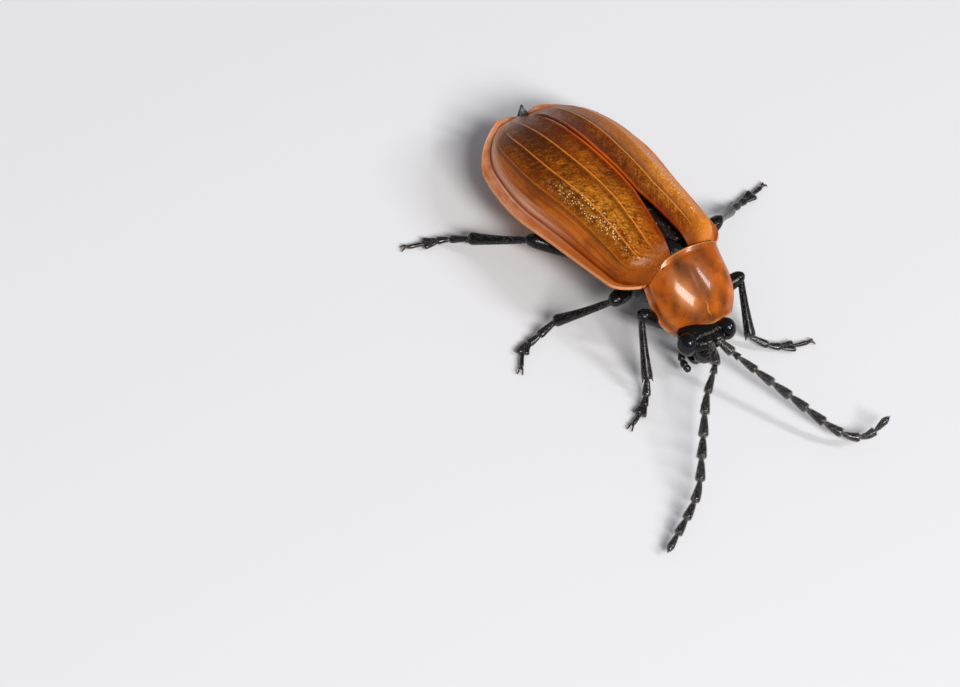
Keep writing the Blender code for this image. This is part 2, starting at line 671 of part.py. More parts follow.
def feeler_solid(side, length_index, material=None, grow=0.0):
    """One length of a feeler: cone-shaped segments in a row, wide at the far end of each."""
    sign = SIDES[side]
    root = in_stance(head, np.array(SOCKET_OFFSET) * (sign, 1, 1) - (0, 0.16, 0))
    line, total = smooth_path([root, *FEELER_PATHS[side]])
    run = np.linspace(0, total, len(line))
    ends = np.cumsum(FEELER_SEGMENTS) / sum(FEELER_SEGMENTS) * total
    starts = np.concatenate([[0], ends[:-1]])
    cuts = (0, *FEELER_SPLITS, len(FEELER_SEGMENTS))
    first, last = cuts[length_index], cuts[length_index + 1]
    stations, radii = [], []
    for n in range(first, last):
        size = FEELER_RADIUS * (0.8 if n < 2 else 1.0 - 0.03 * max(n - 6, 0))
        step = ends[n] - starts[n]
        tip = n == len(FEELER_SEGMENTS) - 1
        begin = starts[n] + (GAP if n == first and n > 0 else 0.0)
        profile = ((0.12, 0.78), (0.45, 0.88), (0.82, 1.0), (1.0, 0.35 if tip else 0.66))
        stations += [begin] + [starts[n] + step * share for share, _ in profile]
        radii += [FEELER_NECK] + [size * part for _, part in profile]
        if not tip and n < last - 1:
            stations[-1] -= 0.02 * step
    path = np.stack([np.interp(stations, run, line[:, k]) for k in range(3)], -1)
    rings = tube_rings(path, radii, radii, (0, 0, 1), FEELER_SIDES, grow)
    if grow:
        return cutter(loft, "feeler", rings, stance)
    return loft(f"feeler_{side}_{length_index + 1}", rings, stance, material)


# Legs

def leg_line(pair, side):
    """The joints of a leg in the stance frame: root inside the body, hip, knee, ankle and the foot."""
    hip = np.array(HIPS[pair]) * (SIDES[side], 1, 1)
    inner = hip * (0.75, 1, 1) + (0, 0, 0.42)
    return [in_stance(trunk, inner), in_stance(trunk, hip), *map(np.array, LEG_POINTS[pair, side])]


def leg_tube(name, start, end, profile, scale, material, grow, bow=0.0):
    """A tapering tube between two joints; shares of the profile past 1 round off its end."""
    start, end = np.array(start), np.array(end)
    shares, radii = np.array(profile).T
    path = start + (end - start) * shares[:, None]
    path[:, 2] += bow * np.sin(np.pi * np.clip(shares, 0, 1))
    rings = tube_rings(path, radii * scale, radii * scale, (0, 0, 1), LEG_SIDES, grow)
    if grow:
        return cutter(loft, name, rings, stance)
    return loft(name, rings, stance, material)


def coxa_solid(pair, side, material=None, grow=0.0):
    """The rounded root of a leg, seated in the underside."""
    points = leg_line(pair, side)
    name = f"coxa_{pair}_{side}"
    return leg_tube(name, points[0], points[1], COXA_PROFILE, LEG_SCALE[pair], material, grow)


def femur_solid(pair, side, material=None, grow=0.0):
    """The thigh, thickest in its outer half."""
    points = leg_line(pair, side)
    name = f"femur_{pair}_{side}"
    return leg_tube(name, points[1], points[2], FEMUR_PROFILE, LEG_SCALE[pair], material, grow, bow=0.05)


def tibia_solid(pair, side, material=None, grow=0.0):
    """The shin, which widens towards the foot and bends a little."""
    points = leg_line(pair, side)
    name = f"tibia_{pair}_{side}"
    return leg_tube(name, points[2], points[3], TIBIA_PROFILE, LEG_SCALE[pair], material, grow, bow=-0.04)


def claw(name, root, along, turn):
    """One hooked claw, which leaves the end of the foot at an angle in plan."""
    away = np.array(Matrix.Rotation(math.radians(turn), 3, "Z") @ Vector(along))
    shares = np.array([-0.3, 0.0, 0.5, 1.0])
    path = root + away * (shares * CLAW_LENGTH)[:, None]
    path[:, 2] = np.interp(shares, [-0.3, 0.0, 0.5, 1.0], [0.12, 0.12, 0.13, 0.05])
    radii = [0.065, 0.065, 0.055, 0.04]
    return loft(name, tube_rings(path, radii, radii, (0, 0, 1), 6), stance)


def tarsus_solid(pair, side, material):
    """The foot: a long joint, a short one, a broad one and the claw joint with its two claws, flat below."""
    points = leg_line(pair, side)
    line, total = smooth_path(points[3:])
    stations, widths = np.array(TARSUS_PROFILE).T
    stations, widths = stations * total, widths * LEG_SCALE[pair]
    run = np.linspace(0, total, len(line))
    path = np.stack([np.interp(stations, run, line[:, k]) for k in range(3)], -1)
    rings = tube_rings(path, widths, np.minimum(widths, FOOT_HALF_HEIGHT), (0, 0, 1), LEG_SIDES)
    rings[..., 2] = np.maximum(rings[..., 2], 0.0)
    foot = loft(f"tarsus_{pair}_{side}", rings, stance, material)
    along = line[-1] - line[-20]
    along[2] = 0.0
    along /= np.linalg.norm(along)
    claws = [claw("claw", line[-1] - along * 0.08, along, turn) for turn in (CLAW_SPREAD, -CLAW_SPREAD)]
    carve(foot, [tibia_solid(pair, side, grow=GAP)], joined=claws)
    return foot


def leg(pair, side, material):
    coxa_solid(pair, side, material)
    femur = femur_solid(pair, side, material)
    carve(femur, [coxa_solid(pair, side, grow=GAP)])
    tibia = tibia_solid(pair, side, material)
    carve(tibia, [femur_solid(pair, side, grow=GAP)])
    tarsus_solid(pair, side, material)


def shrink_to_metres():
    """Turns the units from millimetres into metres: each mesh, and each empty's place."""
    for obj in collection.objects:
        if obj.type == "MESH":
            obj.data.transform(Matrix.Scale(MM, 4))
        else:
            obj.location *= MM


def centre_on_floor():
    """Moves the stance so that the origin is under the middle of the whole beetle, at the floor."""
    bpy.context.view_layer.update()
    corners = []
    for obj in collection.objects:
        if obj.type == "MESH":
            co = np.empty(len(obj.data.vertices) * 3)
            obj.data.vertices.foreach_get("co", co)
            world = np.array(obj.matrix_world)
            corners.append(co.reshape(-1, 3) @ world[:3, :3].T + world[:3, 3])
    points = np.concatenate(corners)
    low, high = points.min(axis=0), points.max(axis=0)
    stance.location = (-(low[0] + high[0]) / 2, -(low[1] + high[1]) / 2, -low[2])


clear_scene()
collection = bpy.data.collections.new("daffodil_leaf_beetle")
cutters_collection = bpy.data.collections.new("cutters")
for group in (collection, cutters_collection):
    bpy.context.scene.collection.children.link(group)

amber = finish("amber_case", (0.42, 0.15, 0.025), 0.3)
orange = finish("orange_shield", (0.50, 0.13, 0.015), 0.22)
black = finish("black_cuticle", (0.012, 0.012, 0.015), 0.25)
eye_black = finish("eye_black", (0.006, 0.006, 0.008), 0.12)
belly = finish("belly_orange", (0.55, 0.22, 0.04), 0.35)
wing_brown = finish("wing_brown", (0.06, 0.035, 0.03), 0.5)

stance = frame_empty("stance", None)
trunk = frame_empty("trunk", stance, (0, 0, TRUNK_HEIGHT), tilt(TRUNK_NOSE_UP))
prothorax = frame_empty(
    "prothorax", trunk, SHIELD_HINGE, tilt(-SHIELD_NOSE_DOWN, SHIELD_YAW, SHIELD_ROLL)
)
head = frame_empty("head", trunk, EYE_LINE, tilt(-HEAD_NOSE_DOWN, HEAD_YAW, HEAD_ROLL))

for side in SIDES:
    wing_case("wing_case_" + side, side, amber)
folded_wings(wing_brown)
scutellum(black)
rear_legs = [(pair, side) for pair in ("mid", "hind") for side in SIDES]
sockets = [coxa_solid(pair, side, grow=GAP) for pair, side in rear_legs]
passages = [femur_solid(pair, side, grow=GAP) for pair, side in rear_legs]
carve(pterothorax(black), sockets + passages)
carve(abdomen(belly), [femur_solid("hind", side, grow=GAP) for side in SIDES])
pronotum(orange)
prosternum(black)
head_capsule(black)
for side in SIDES:
    eye_solid(side, eye_black)
    palp(side, black)
    for index in range(len(FEELER_SPLITS) + 1):
        feeler_solid(side, index, black)
mouth_block("labrum", LABRUM_RINGS, black)
mouth_block("mandibles", MANDIBLE_RINGS, black)
for pair in LEG_SCALE:
    for side in SIDES:
        leg(pair, side, black)
shrink_to_metres()
centre_on_floor()
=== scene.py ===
# %% [markdown]
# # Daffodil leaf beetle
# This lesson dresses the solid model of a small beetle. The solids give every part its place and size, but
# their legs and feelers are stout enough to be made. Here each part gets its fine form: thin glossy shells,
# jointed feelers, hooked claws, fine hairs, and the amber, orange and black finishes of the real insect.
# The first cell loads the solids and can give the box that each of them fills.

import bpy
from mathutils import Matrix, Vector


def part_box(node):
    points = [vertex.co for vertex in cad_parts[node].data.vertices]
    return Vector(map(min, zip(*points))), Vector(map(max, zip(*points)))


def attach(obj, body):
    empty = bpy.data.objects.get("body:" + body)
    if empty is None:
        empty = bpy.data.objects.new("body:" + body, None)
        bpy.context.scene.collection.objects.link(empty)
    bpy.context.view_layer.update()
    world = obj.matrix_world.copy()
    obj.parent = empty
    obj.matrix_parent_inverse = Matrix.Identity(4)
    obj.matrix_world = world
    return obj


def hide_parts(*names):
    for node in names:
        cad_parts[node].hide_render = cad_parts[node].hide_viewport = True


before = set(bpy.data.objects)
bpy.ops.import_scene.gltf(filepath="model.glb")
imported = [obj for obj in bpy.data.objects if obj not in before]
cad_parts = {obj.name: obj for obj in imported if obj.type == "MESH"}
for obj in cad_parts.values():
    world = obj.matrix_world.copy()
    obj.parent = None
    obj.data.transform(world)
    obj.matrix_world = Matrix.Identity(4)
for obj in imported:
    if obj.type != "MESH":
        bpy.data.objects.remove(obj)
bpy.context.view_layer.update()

import bpy
import numpy as np
from mathutils import Matrix

# %% [markdown]
# The beetle is described in millimetres in four frames: the floor, the trunk, which is tilted nose up on the
# legs, the neck shield and the head. In each, X points to the beetle's right, Y ahead and Z up. The solids
# were centred on the floor at the end of their making, so the place of the trunk is read back from the eyes:
# the point between their two boxes is a known point of the head.

# %% Frames of the body
MM = 0.001
SIDES = {"right": 1.0, "left": -1.0}
EYE_OFFSET = np.array([0.63, 0.06, -0.02])
EYE_SHIFT = np.array([0.03, 0.0, -0.02])


def turned(axis, degrees):
    """Rotation matrix about one axis, anticlockwise when the axis points at the reader."""
    return np.array(Matrix.Rotation(np.radians(degrees), 3, axis))


TRUNK_TURN = turned("X", 10.0)
SHIELD_TURN = TRUNK_TURN @ turned("Z", -0.4) @ turned("X", -43.4) @ turned("Y", 7.1)
HEAD_TURN = TRUNK_TURN @ turned("Z", -3.3) @ turned("X", -8.0) @ turned("Y", -5.0)
HEAD_FROM_TRUNK = TRUNK_TURN @ (0.20, 1.62, -0.94)
SHIELD_FROM_TRUNK = TRUNK_TURN @ (-0.10, 0.0, 0.71)
TRUNK_HEIGHT = 2.3
print("the head sits", HEAD_FROM_TRUNK.round(2), "mm from the trunk's origin")

# %% [markdown]
# A frame is a rotation and a place. A point is taken from one frame to another by turning and moving it out
# of the first, and then moving and turning it back into the second. Empties as parents could do the same, but
# every piece has to end unturned at the origin.

# %% Places of the frames


def middle_of(node):
    """Middle of a solid's box, in millimetres."""
    return np.mean([np.array(corner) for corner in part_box(node)], axis=0) / MM


between_eyes = (middle_of("eye_right") + middle_of("eye_left")) / 2
head_place = between_eyes - HEAD_TURN @ (EYE_OFFSET * (0, 1, 1))
trunk_place = head_place - HEAD_FROM_TRUNK
FRAMES = {
    "floor": (np.eye(3), trunk_place - (0, 0, TRUNK_HEIGHT)),
    "trunk": (TRUNK_TURN, trunk_place),
    "shield": (SHIELD_TURN, trunk_place + SHIELD_FROM_TRUNK),
    "head": (HEAD_TURN, head_place),
}
print("the trunk sits at", trunk_place.round(3), "mm")


def to_frame(points, where, target="floor"):
    """Points of one frame written in another: turned and moved out, then turned and moved back in."""
    turn, place = FRAMES[where]
    back, origin = FRAMES[target]
    return (np.asarray(points, float) @ turn.T + place - origin) @ back


# %% [markdown]
# ## Surfaces
# Every piece is a surface worked out on a grid. Pieces could be modelled by hand, but numbers can be changed
# later, and whole arrays are quick. A surface here is a pair: an array of points, and a list of face arrays.
# The sign of the volume that it encloses tells whether its faces point outwards.

# %% Faces over a grid of points


def outward(points, faces):
    """Turns all faces round if their volume is negative: the sum of a . (b x c) over triangles a, b, c."""
    triangles = [face[:, :3] for face in faces]
    triangles += [face[:, [0, 2, 3]] for face in faces if face.shape[1] == 4]
    a, b, c = np.moveaxis(points[np.concatenate(triangles)], 1, 0)
    volume = np.einsum("ij,ij->", a, np.cross(b, c))
    return (points, faces) if volume > 0 else (points, [face[:, ::-1] for face in faces])


def grid_quads(at, wrap=False):
    """Quads between neighbouring entries of an index grid; with wrap the last column joins the first."""
    if wrap:
        at = np.concatenate([at, at[:, :1]], axis=1)
    return np.stack([at[:-1, :-1], at[:-1, 1:], at[1:, 1:], at[1:, :-1]], -1).reshape(-1, 4)


# %% [markdown]
# Three kinds of surface are enough for the whole beetle: a tube closed by a point at each end, a thin plate
# between two grids, and several surfaces put together as one.

# %% Tubes, plates and groups


def tube(rings):
    """A closed tube over rings, each end gathered into one point in the middle of its last ring."""
    rings = np.asarray(rings, float)
    count, around = rings.shape[:2]
    points = np.concatenate([rings.reshape(-1, 3), rings[0].mean(0)[None], rings[-1].mean(0)[None]])
    at = np.arange(count * around).reshape(count, around)
    near, far = np.roll(at[0], -1), np.roll(at[-1], -1)
    start, end = np.full(around, count * around), np.full(around, count * around + 1)
    fans = np.concatenate([np.stack([near, at[0], start], -1), np.stack([at[-1], far, end], -1)])
    return outward(points, [grid_quads(at, wrap=True), fans])


def plate(outer, inner):
    """A closed plate between two grids of the same layout, joined round their border."""
    rows, columns = outer.shape[:2]
    at = np.arange(rows * columns).reshape(rows, columns)
    border = np.concatenate([at[0], at[1:, -1], at[-1, -2::-1], at[-2:0:-1, 0]])
    rim = np.stack([border, np.roll(border, -1)], -1)
    rim = np.concatenate([rim[:, ::-1], rim + rows * columns], -1)
    points = np.concatenate([outer.reshape(-1, 3), inner.reshape(-1, 3)])
    faces = [grid_quads(at), grid_quads(at)[:, ::-1] + rows * columns, rim]
    return outward(points, faces)


def together(surfaces):
    """Several surfaces as one: their points in a row, their faces renumbered."""
    points, faces, first = [], [], 0
    for some_points, some_faces in surfaces:
        points.append(some_points)
        faces += [face + first for face in some_faces]
        first += len(some_points)
    return np.concatenate(points), faces


# %% [markdown]
# A surface becomes an object in one go: foreach_set copies whole arrays into the mesh, which is far quicker
# than adding corners one by one. The place of a piece goes into its points, so that its object stays at the
# origin, unturned, like the solids. Each piece says which solids it stands for and what it is made of.

# %% Objects from surfaces


def mesh_of(name, surface, where):
    """A smooth mesh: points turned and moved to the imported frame, and the faces' corners in a row."""
    points, faces = surface
    turn, place = FRAMES[where]
    mesh = bpy.data.meshes.new(name)
    corners = np.concatenate([face.ravel() for face in faces])
    sizes = np.concatenate([np.full(len(face), face.shape[1]) for face in faces])
    mesh.vertices.add(len(points))
    mesh.vertices.foreach_set("co", ((points @ turn.T + place) * MM).ravel())
    mesh.loops.add(len(corners))
    mesh.loops.foreach_set("vertex_index", corners.astype(np.int32))
    mesh.polygons.add(len(sizes))
    mesh.polygons.foreach_set("loop_start", (np.cumsum(sizes) - sizes).astype(np.int32))
    mesh.update(calc_edges=True)
    mesh.shade_smooth()
    print(f"{name}: {len(points)} points, {(sizes - 2).sum()} triangles")
    return mesh, corners


def piece(name, surface, where, nodes, finish, masks=None, patches=None):
    """An object that stands for its nodes; masks hold a value for each point, patches a place on the skin."""
    mesh, corners = mesh_of(name, surface, where)
    if patches is not None:
        layer = mesh.uv_layers.new(name="OFBake")
        layer.data.foreach_set("uv", patches[corners].astype(np.float32).ravel())
    for mask, values in (masks or {}).items():
        attribute = mesh.attributes.new(mask, "FLOAT", "POINT")
        attribute.data.foreach_set("value", values.astype(np.float32).ravel())
    mesh.materials.append(finish)
    made = bpy.data.objects.new(name, mesh)
    bpy.context.scene.collection.objects.link(made)
    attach(made, "root")
    if nodes:
        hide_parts(*nodes)


# %% [markdown]
# Legs, feelers and palps are tubes along a path. A curve object with a bevel could make them, but swept rings
# give every joint its own profile. A few points are joined by a smooth line, rings are set square to it, and
# their half widths and half heights come from a profile along it.

# %% Smooth lines


def smooth_line(points, count=200):
    """Catmull-Rom line through the points, evened out in length; returns it with its length."""
    points = np.asarray(points, float)
    padded = np.concatenate([[2 * points[0] - points[1]], points, [2 * points[-1] - points[-2]]])
    t = np.linspace(0, len(points) - 1 - 1e-9, count)
    step = t.astype(int)
    f = (t - step)[:, None]
    a, b, c, d = (padded[step + k] for k in range(4))
    square, cube = 2 * a - 5 * b + 4 * c - d, 3 * b - a - 3 * c + d
    line = 0.5 * (2 * b + (c - a) * f + square * f**2 + cube * f**3)
    run = np.concatenate([[0], np.cumsum(np.linalg.norm(np.diff(line, axis=0), axis=1))])
    even = np.linspace(0, run[-1], count)
    return np.stack([np.interp(even, run, line[:, k]) for k in range(3)], -1), run[-1]


def along_line(line, share):
    """Points of an evenly stepped line at shares of its length, carried straight on beyond its ends."""
    step = len(line) - 1
    inside = np.clip(share, 0, 1)
    spots = np.stack([np.interp(inside * step, np.arange(step + 1), line[:, k]) for k in range(3)], -1)
    first, last = (line[1] - line[0]) * step, (line[-1] - line[-2]) * step
    return spots + np.minimum(share, 0)[:, None] * first + np.maximum(share - 1, 0)[:, None] * last


# %% [markdown]
# A ring is an ellipse: a cosine across the path and a sine upwards. Its radius is read from a short table of
# shares and radii, in steps that crowd together at both ends, where a joint is rounded over.

# %% Swept rings


def swept(path, widths, heights=None, up=(0, 0, 1), sides=24):
    """Elliptical rings along a path: half widths times cosines across it, half heights times sines up."""
    path = np.asarray(path, float)
    heights = widths if heights is None else heights
    along = np.gradient(path, axis=0)
    along /= np.linalg.norm(along, axis=1)[:, None]
    across = np.cross(along, up)
    across /= np.linalg.norm(across, axis=1)[:, None]
    rise = np.cross(across, along)
    angle = np.arange(sides) * 2 * np.pi / sides
    sideways = across[:, None] * (np.asarray(widths)[:, None] * np.cos(angle))[..., None]
    upwards = rise[:, None] * (np.asarray(heights)[:, None] * np.sin(angle))[..., None]
    return path[:, None] + sideways + upwards


def rounded(profile, count=24):
    """A (share, radius) table read in cosine steps, and each radius averaged with its two neighbours."""
    shares, radii = np.array(profile, float).T
    even = (1 - np.cos(np.linspace(0, np.pi, count))) / 2
    even = shares[0] + even * (shares[-1] - shares[0])
    smooth = np.interp(even, shares, radii)
    weight = np.array([0.25, 0.5, 0.25])
    smooth[1:-1] = np.convolve(smooth, weight, "valid")
    return even, smooth


# %% [markdown]
# ## Finishes
# A finish is a Principled shader fed by other nodes. It could be drawn in the shader editor. A small class
# that adds nodes and fills their sockets, from other nodes or with plain values, makes each finish read as a
# short recipe instead. It starts with the shader itself, and with two things that a pattern can be laid on:
# the place in the object, and a mask stored in the mesh.

# %% Nodes of a finish


class Nodes:
    """A material under construction: its node tree and its shader."""

    def __init__(self, name, **sockets):
        self.material = bpy.data.materials.new(name)
        self.material.use_nodes = True
        self.tree = self.material.node_tree
        self.shader = self.tree.nodes["Principled BSDF"]
        for socket, value in sockets.items():
            self.shader.inputs[socket.replace("_", " ")].default_value = value

    def node(self, kind, inputs=None, output=0, **settings):
        """Adds a node and returns one of its outputs."""
        made = self.tree.nodes.new("ShaderNode" + kind)
        for setting, value in settings.items():
            setattr(made, setting, value)
        for socket, value in (inputs or {}).items():
            if isinstance(value, bpy.types.NodeSocket):
                self.tree.links.new(value, made.inputs[socket])
            else:
                made.inputs[socket].default_value = value
        return made.outputs[output]

    def place(self):
        """Object coordinates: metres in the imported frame."""
        return self.node("TexCoord", output="Object")

    def mask(self, name):
        """A value stored with every point of the mesh."""
        return self.node("Attribute", output="Fac", attribute_name=name)

    def feed(self, **sockets):
        """Links values to the shader's sockets and hands over the finished material."""
        for socket, value in sockets.items():
            self.tree.links.new(value, self.shader.inputs[socket.replace("_", " ")])
        return self.material


# %% [markdown]
# Two patterns are enough for cuticle: soft clouds of noise, and cells round scattered points. What comes out
# of them lies between 0 and 1, mostly near the middle, so it is stretched before it is used as a share.

# %% Patterns


class Patterns(Nodes):
    """Nodes that give one value at each place."""

    def noise(self, scale, detail=3.0, roughness=0.55, distortion=0.0, vector=None):
        """Soft cloudy values round one half; scale counts waves to a millimetre."""
        inputs = {"Vector": vector or self.place(), "Scale": scale / MM, "Detail": detail}
        inputs.update({"Roughness": roughness, "Distortion": distortion})
        return self.node("TexNoise", inputs, output="Fac")

    def cells(self, scale, randomness=1.0):
        """Distance to the nearest of many scattered points; scale counts them to a millimetre."""
        inputs = {"Vector": self.place(), "Scale": scale / MM, "Randomness": randomness}
        return self.node("TexVoronoi", inputs, output="Distance")

    def spread(self, value, low, high, to_low=0.0, to_high=1.0):
        """The value stretched so that low and high become to_low and to_high, and clamped there."""
        inputs = {"Value": value, "From Min": low, "From Max": high, "To Min": to_low, "To Max": to_high}
        return self.node("MapRange", inputs)

    def math(self, operation, a, b=0.0):
        """One step of arithmetic on two values."""
        return self.node("Math", {0: a, 1: b}, operation=operation)

    def times(self, a, b):
        """The product of two values."""
        return self.math("MULTIPLY", a, b)


# %% [markdown]
# Colours are laid over each other like glazes, each by a share. Relief too small for the mesh is a bump: it
# only tilts the light on the surface, which is enough for pits a hundredth of a millimetre deep.

# %% Colours and relief of a finish


class Finish(Patterns):
    """A material with glazes of colour and fine relief."""

    def blend(self, share, a, b):
        """Colour a changed towards colour b by a share."""
        made = self.tree.nodes.new("ShaderNodeMix")
        made.data_type = "RGBA"
        for socket, value in ((made.inputs[0], share), (made.inputs[6], a), (made.inputs[7], b)):
            if isinstance(value, bpy.types.NodeSocket):
                self.tree.links.new(value, socket)
            else:
                socket.default_value = value if isinstance(value, float) else (*value, 1.0)
        return made.outputs[2]

    def layers(self, shade, *layers):
        """Colours laid over a shade in turn, each by a share, or by a mask's name, times a strength."""
        for share, strength, colour in layers:
            if isinstance(share, str):
                share = self.mask(share)
            shade = self.blend(self.times(share, strength), shade, colour)
        return shade

    def bump(self, height, distance, strength=1.0, below=None):
        """Surface relief from a height; distance is the depth in millimetres."""
        inputs = {"Height": height, "Distance": distance * MM, "Strength": strength}
        if below:
            inputs["Normal"] = below
        return self.node("Bump", inputs)


# %% [markdown]
# ## Wing cases
# The wing cases are the hardened front wings: thin domed shells of amber cuticle that cover the back and end
# in a flat rim. They could be sculpted, or bent from a plane with modifiers, but a formula keeps both shells
# alike and every measure in reach. A share u runs from the base of a case to its tip, and gives the half
# width, the height of the dome and the width of the rim. Two small curves do most of the work, here and on
# every later piece: a bell for what stands out at one place, and a ramp for what changes along the way.

# %% Two curves that shape everything


def bell(distance, width):
    """A rounded hump: exp(-(distance / width) squared)."""
    return np.exp(-((distance / width) ** 2))


def ramp(value, start, length):
    """0 up to a start, then a straight rise to 1 over a length, and 1 beyond."""
    return np.clip((value - start) / length, 0, 1)


print("a ramp halfway:", ramp(0.5, 0.0, 1.0), "and a bell one width away:", round(bell(1.0, 1.0), 2))

# %% [markdown]
# Seen from above, a case is cut square at its base, widest at two thirds, and ends in a rounded tip. Seen
# from the side, it is highest just before the middle. The inner edge leaves a wedge at the base, where the
# scutellum shows.

# %% Outline of a wing case
CASE_LENGTH = 7.0


def seam_edge(u, wide=0.27, apart=0.06):
    """Half the gap between the cases: a hairline, plus a wedge at the base, a parting and tip corners."""
    wedge = wide * np.clip(1 - (u / 0.27) ** 1.1, 0, 1)
    corner = 0.30 * ramp(u, 0.945, 0.03) ** 2.2
    return 0.035 + wedge + apart * ramp(u, 0.5, 0.5) + corner


def case_outline(u):
    """Half width, dome height and rim width: sine growth to the widest place, then an egg-shaped fall."""
    width = 1.77 + 0.45 * np.sin(np.pi / 2 * ramp(u, 0, 0.69))
    ahead = u + 0.014 * ramp(u, 0.78, 0.17) ** 1.5
    tip = ramp(ahead, 0.59, 0.41) ** 2.83
    width = width * np.sqrt(np.clip(1 - tip, 0, 1)) * (1 - 0.32 * (1 - ramp(u, 0, 0.09)) ** 2.2)
    height = 0.83 + 0.73 * np.sin(np.pi / 2 * ramp(u, 0, 0.43))
    height = height * np.clip(1 - ramp(u, 0.43, 0.57) ** 2.58, 0, 1) ** 0.85
    height = np.maximum(height, 0.16) * (0.6 + 0.4 * np.sqrt(1 - (1 - ramp(u, 0, 0.07)) ** 2))
    width = np.maximum(width, seam_edge(u) + 0.2)
    rim = 0.14 + 0.19 * ramp(u, 0, 0.5) - 0.07 * ramp(u, 0.75, 0.2)
    return width, height, np.minimum(rim, 0.5 * (width - seam_edge(u)))


print("half width, height and rim at mid length:", np.round(case_outline(np.array(0.5)), 2), "mm")

# %% [markdown]
# Across each row of the grid the surface comes down a dome from the seam, and then runs out flat along the
# rim. The corner between the two is softened by averaging neighbours ten times. The left case of this animal
# stands open a little more, and the tips of both curl up.

# %% Grid of a wing case
CASE_GAPS = {"right": (0.20, 0.03), "left": (0.35, 0.12)}
TIP_RISE = {"right": 0.36, "left": 0.22}
CASE_ROWS, DOME_COLUMNS, RIM_COLUMNS = 214, 160, 26
CASE_STOP = 0.975
DOME_POWER = 0.85


def case_rows():
    """Shares of the length, crowding at base and tip: an even share less a part of one sine wave."""
    t = np.linspace(0, 1, CASE_ROWS)
    return CASE_STOP * (t - np.where(t > 0.5, 0.11, 0.05) * np.sin(2 * np.pi * t))


def case_section(u, side):
    """Rows of x by the sine of an angle and z by a power of its cosine, then the rim in even steps."""
    width, height, rim = (value[:, None] for value in case_outline(u))
    seam = seam_edge(u, *CASE_GAPS[side])[:, None]
    width = width + 0.10 * bell(u - 0.56, 0.13)[:, None]
    height = height * (1 - ramp(u, 0.82, 0.145) ** 2.5)[:, None]
    foot = 0.05 + TIP_RISE[side] * ramp(u, 0.84, 0.13)[:, None] ** 1.5
    angle = np.linspace(0, np.pi / 2, DOME_COLUMNS)
    rise = np.cos(angle) ** DOME_POWER
    rise[-1] = 0.0
    share = np.linspace(0, 1, RIM_COLUMNS + 1)[1:]
    x = np.concatenate([seam + (width - rim - seam) * np.sin(angle), width - rim + rim * share], 1)
    z = np.concatenate([foot + height * rise, foot + 0.05 * share], 1)
    for _ in range(10):
        x[:, 1:-1] = (x[:, :-2] + 2 * x[:, 1:-1] + x[:, 2:]) / 4
        z[:, 1:-1] = (z[:, :-2] + 2 * z[:, 1:-1] + z[:, 2:]) / 4
    return x, z, height, np.concatenate([angle, np.pi / 2 + share])


print("a case has", CASE_ROWS, "rows of", DOME_COLUMNS + RIM_COLUMNS, "points")

# %% [markdown]
# Three fine ribs run along each case, with shallow flutes between them, and a groove parts the dome from the
# rim. A sculptor would press them in with a brush. Here each is a bell curve on the place across the case, so
# that the finish can find the same places again and paint the ribs pale and the groove dark.

# %% Ribs, flutes and groove
RIBS = ((0.335, 1.0), (0.69, 1.0), (1.03, 0.4))
RIM_AT_TIP = 0.955


def case_marks(u, across):
    """Where the ribs show, where the rim of the tip begins, and the groove: shares from 0 to 1."""
    begun = ramp(u, 0.03, 0.08)
    fade = (begun * np.clip((0.925 - u) / 0.07, 0, 1))[:, None]
    at_tip = ramp(u, RIM_AT_TIP, 0.004)[:, None]
    groove = bell(across - np.pi / 2, 0.04) * begun[:, None] * (1 - at_tip)
    groove = groove + bell(u - RIM_AT_TIP, 0.004)[:, None] * (across < np.pi / 2)
    return fade, at_tip, groove


def case_relief(u, across, fade, groove):
    """Ribs, edges and shoulder as bells, less the flutes, a cosine across the dome, and the groove."""
    ribs = sum(strength * bell(across - rib, 0.014) for rib, strength in RIBS) * fade
    flutes = np.cos((across - 0.17) * 2 * np.pi / 0.34) * (across < 1.5) * fade
    edge = bell(across - across[-1], 0.10) + bell(across, 0.035) * fade
    shoulder = bell((u - 0.075)[:, None], 0.045) * bell(across - 0.98, 0.2)
    return 0.016 * ribs - 0.010 * flutes - 0.012 * groove + 0.022 * edge + 0.05 * shoulder - 0.03
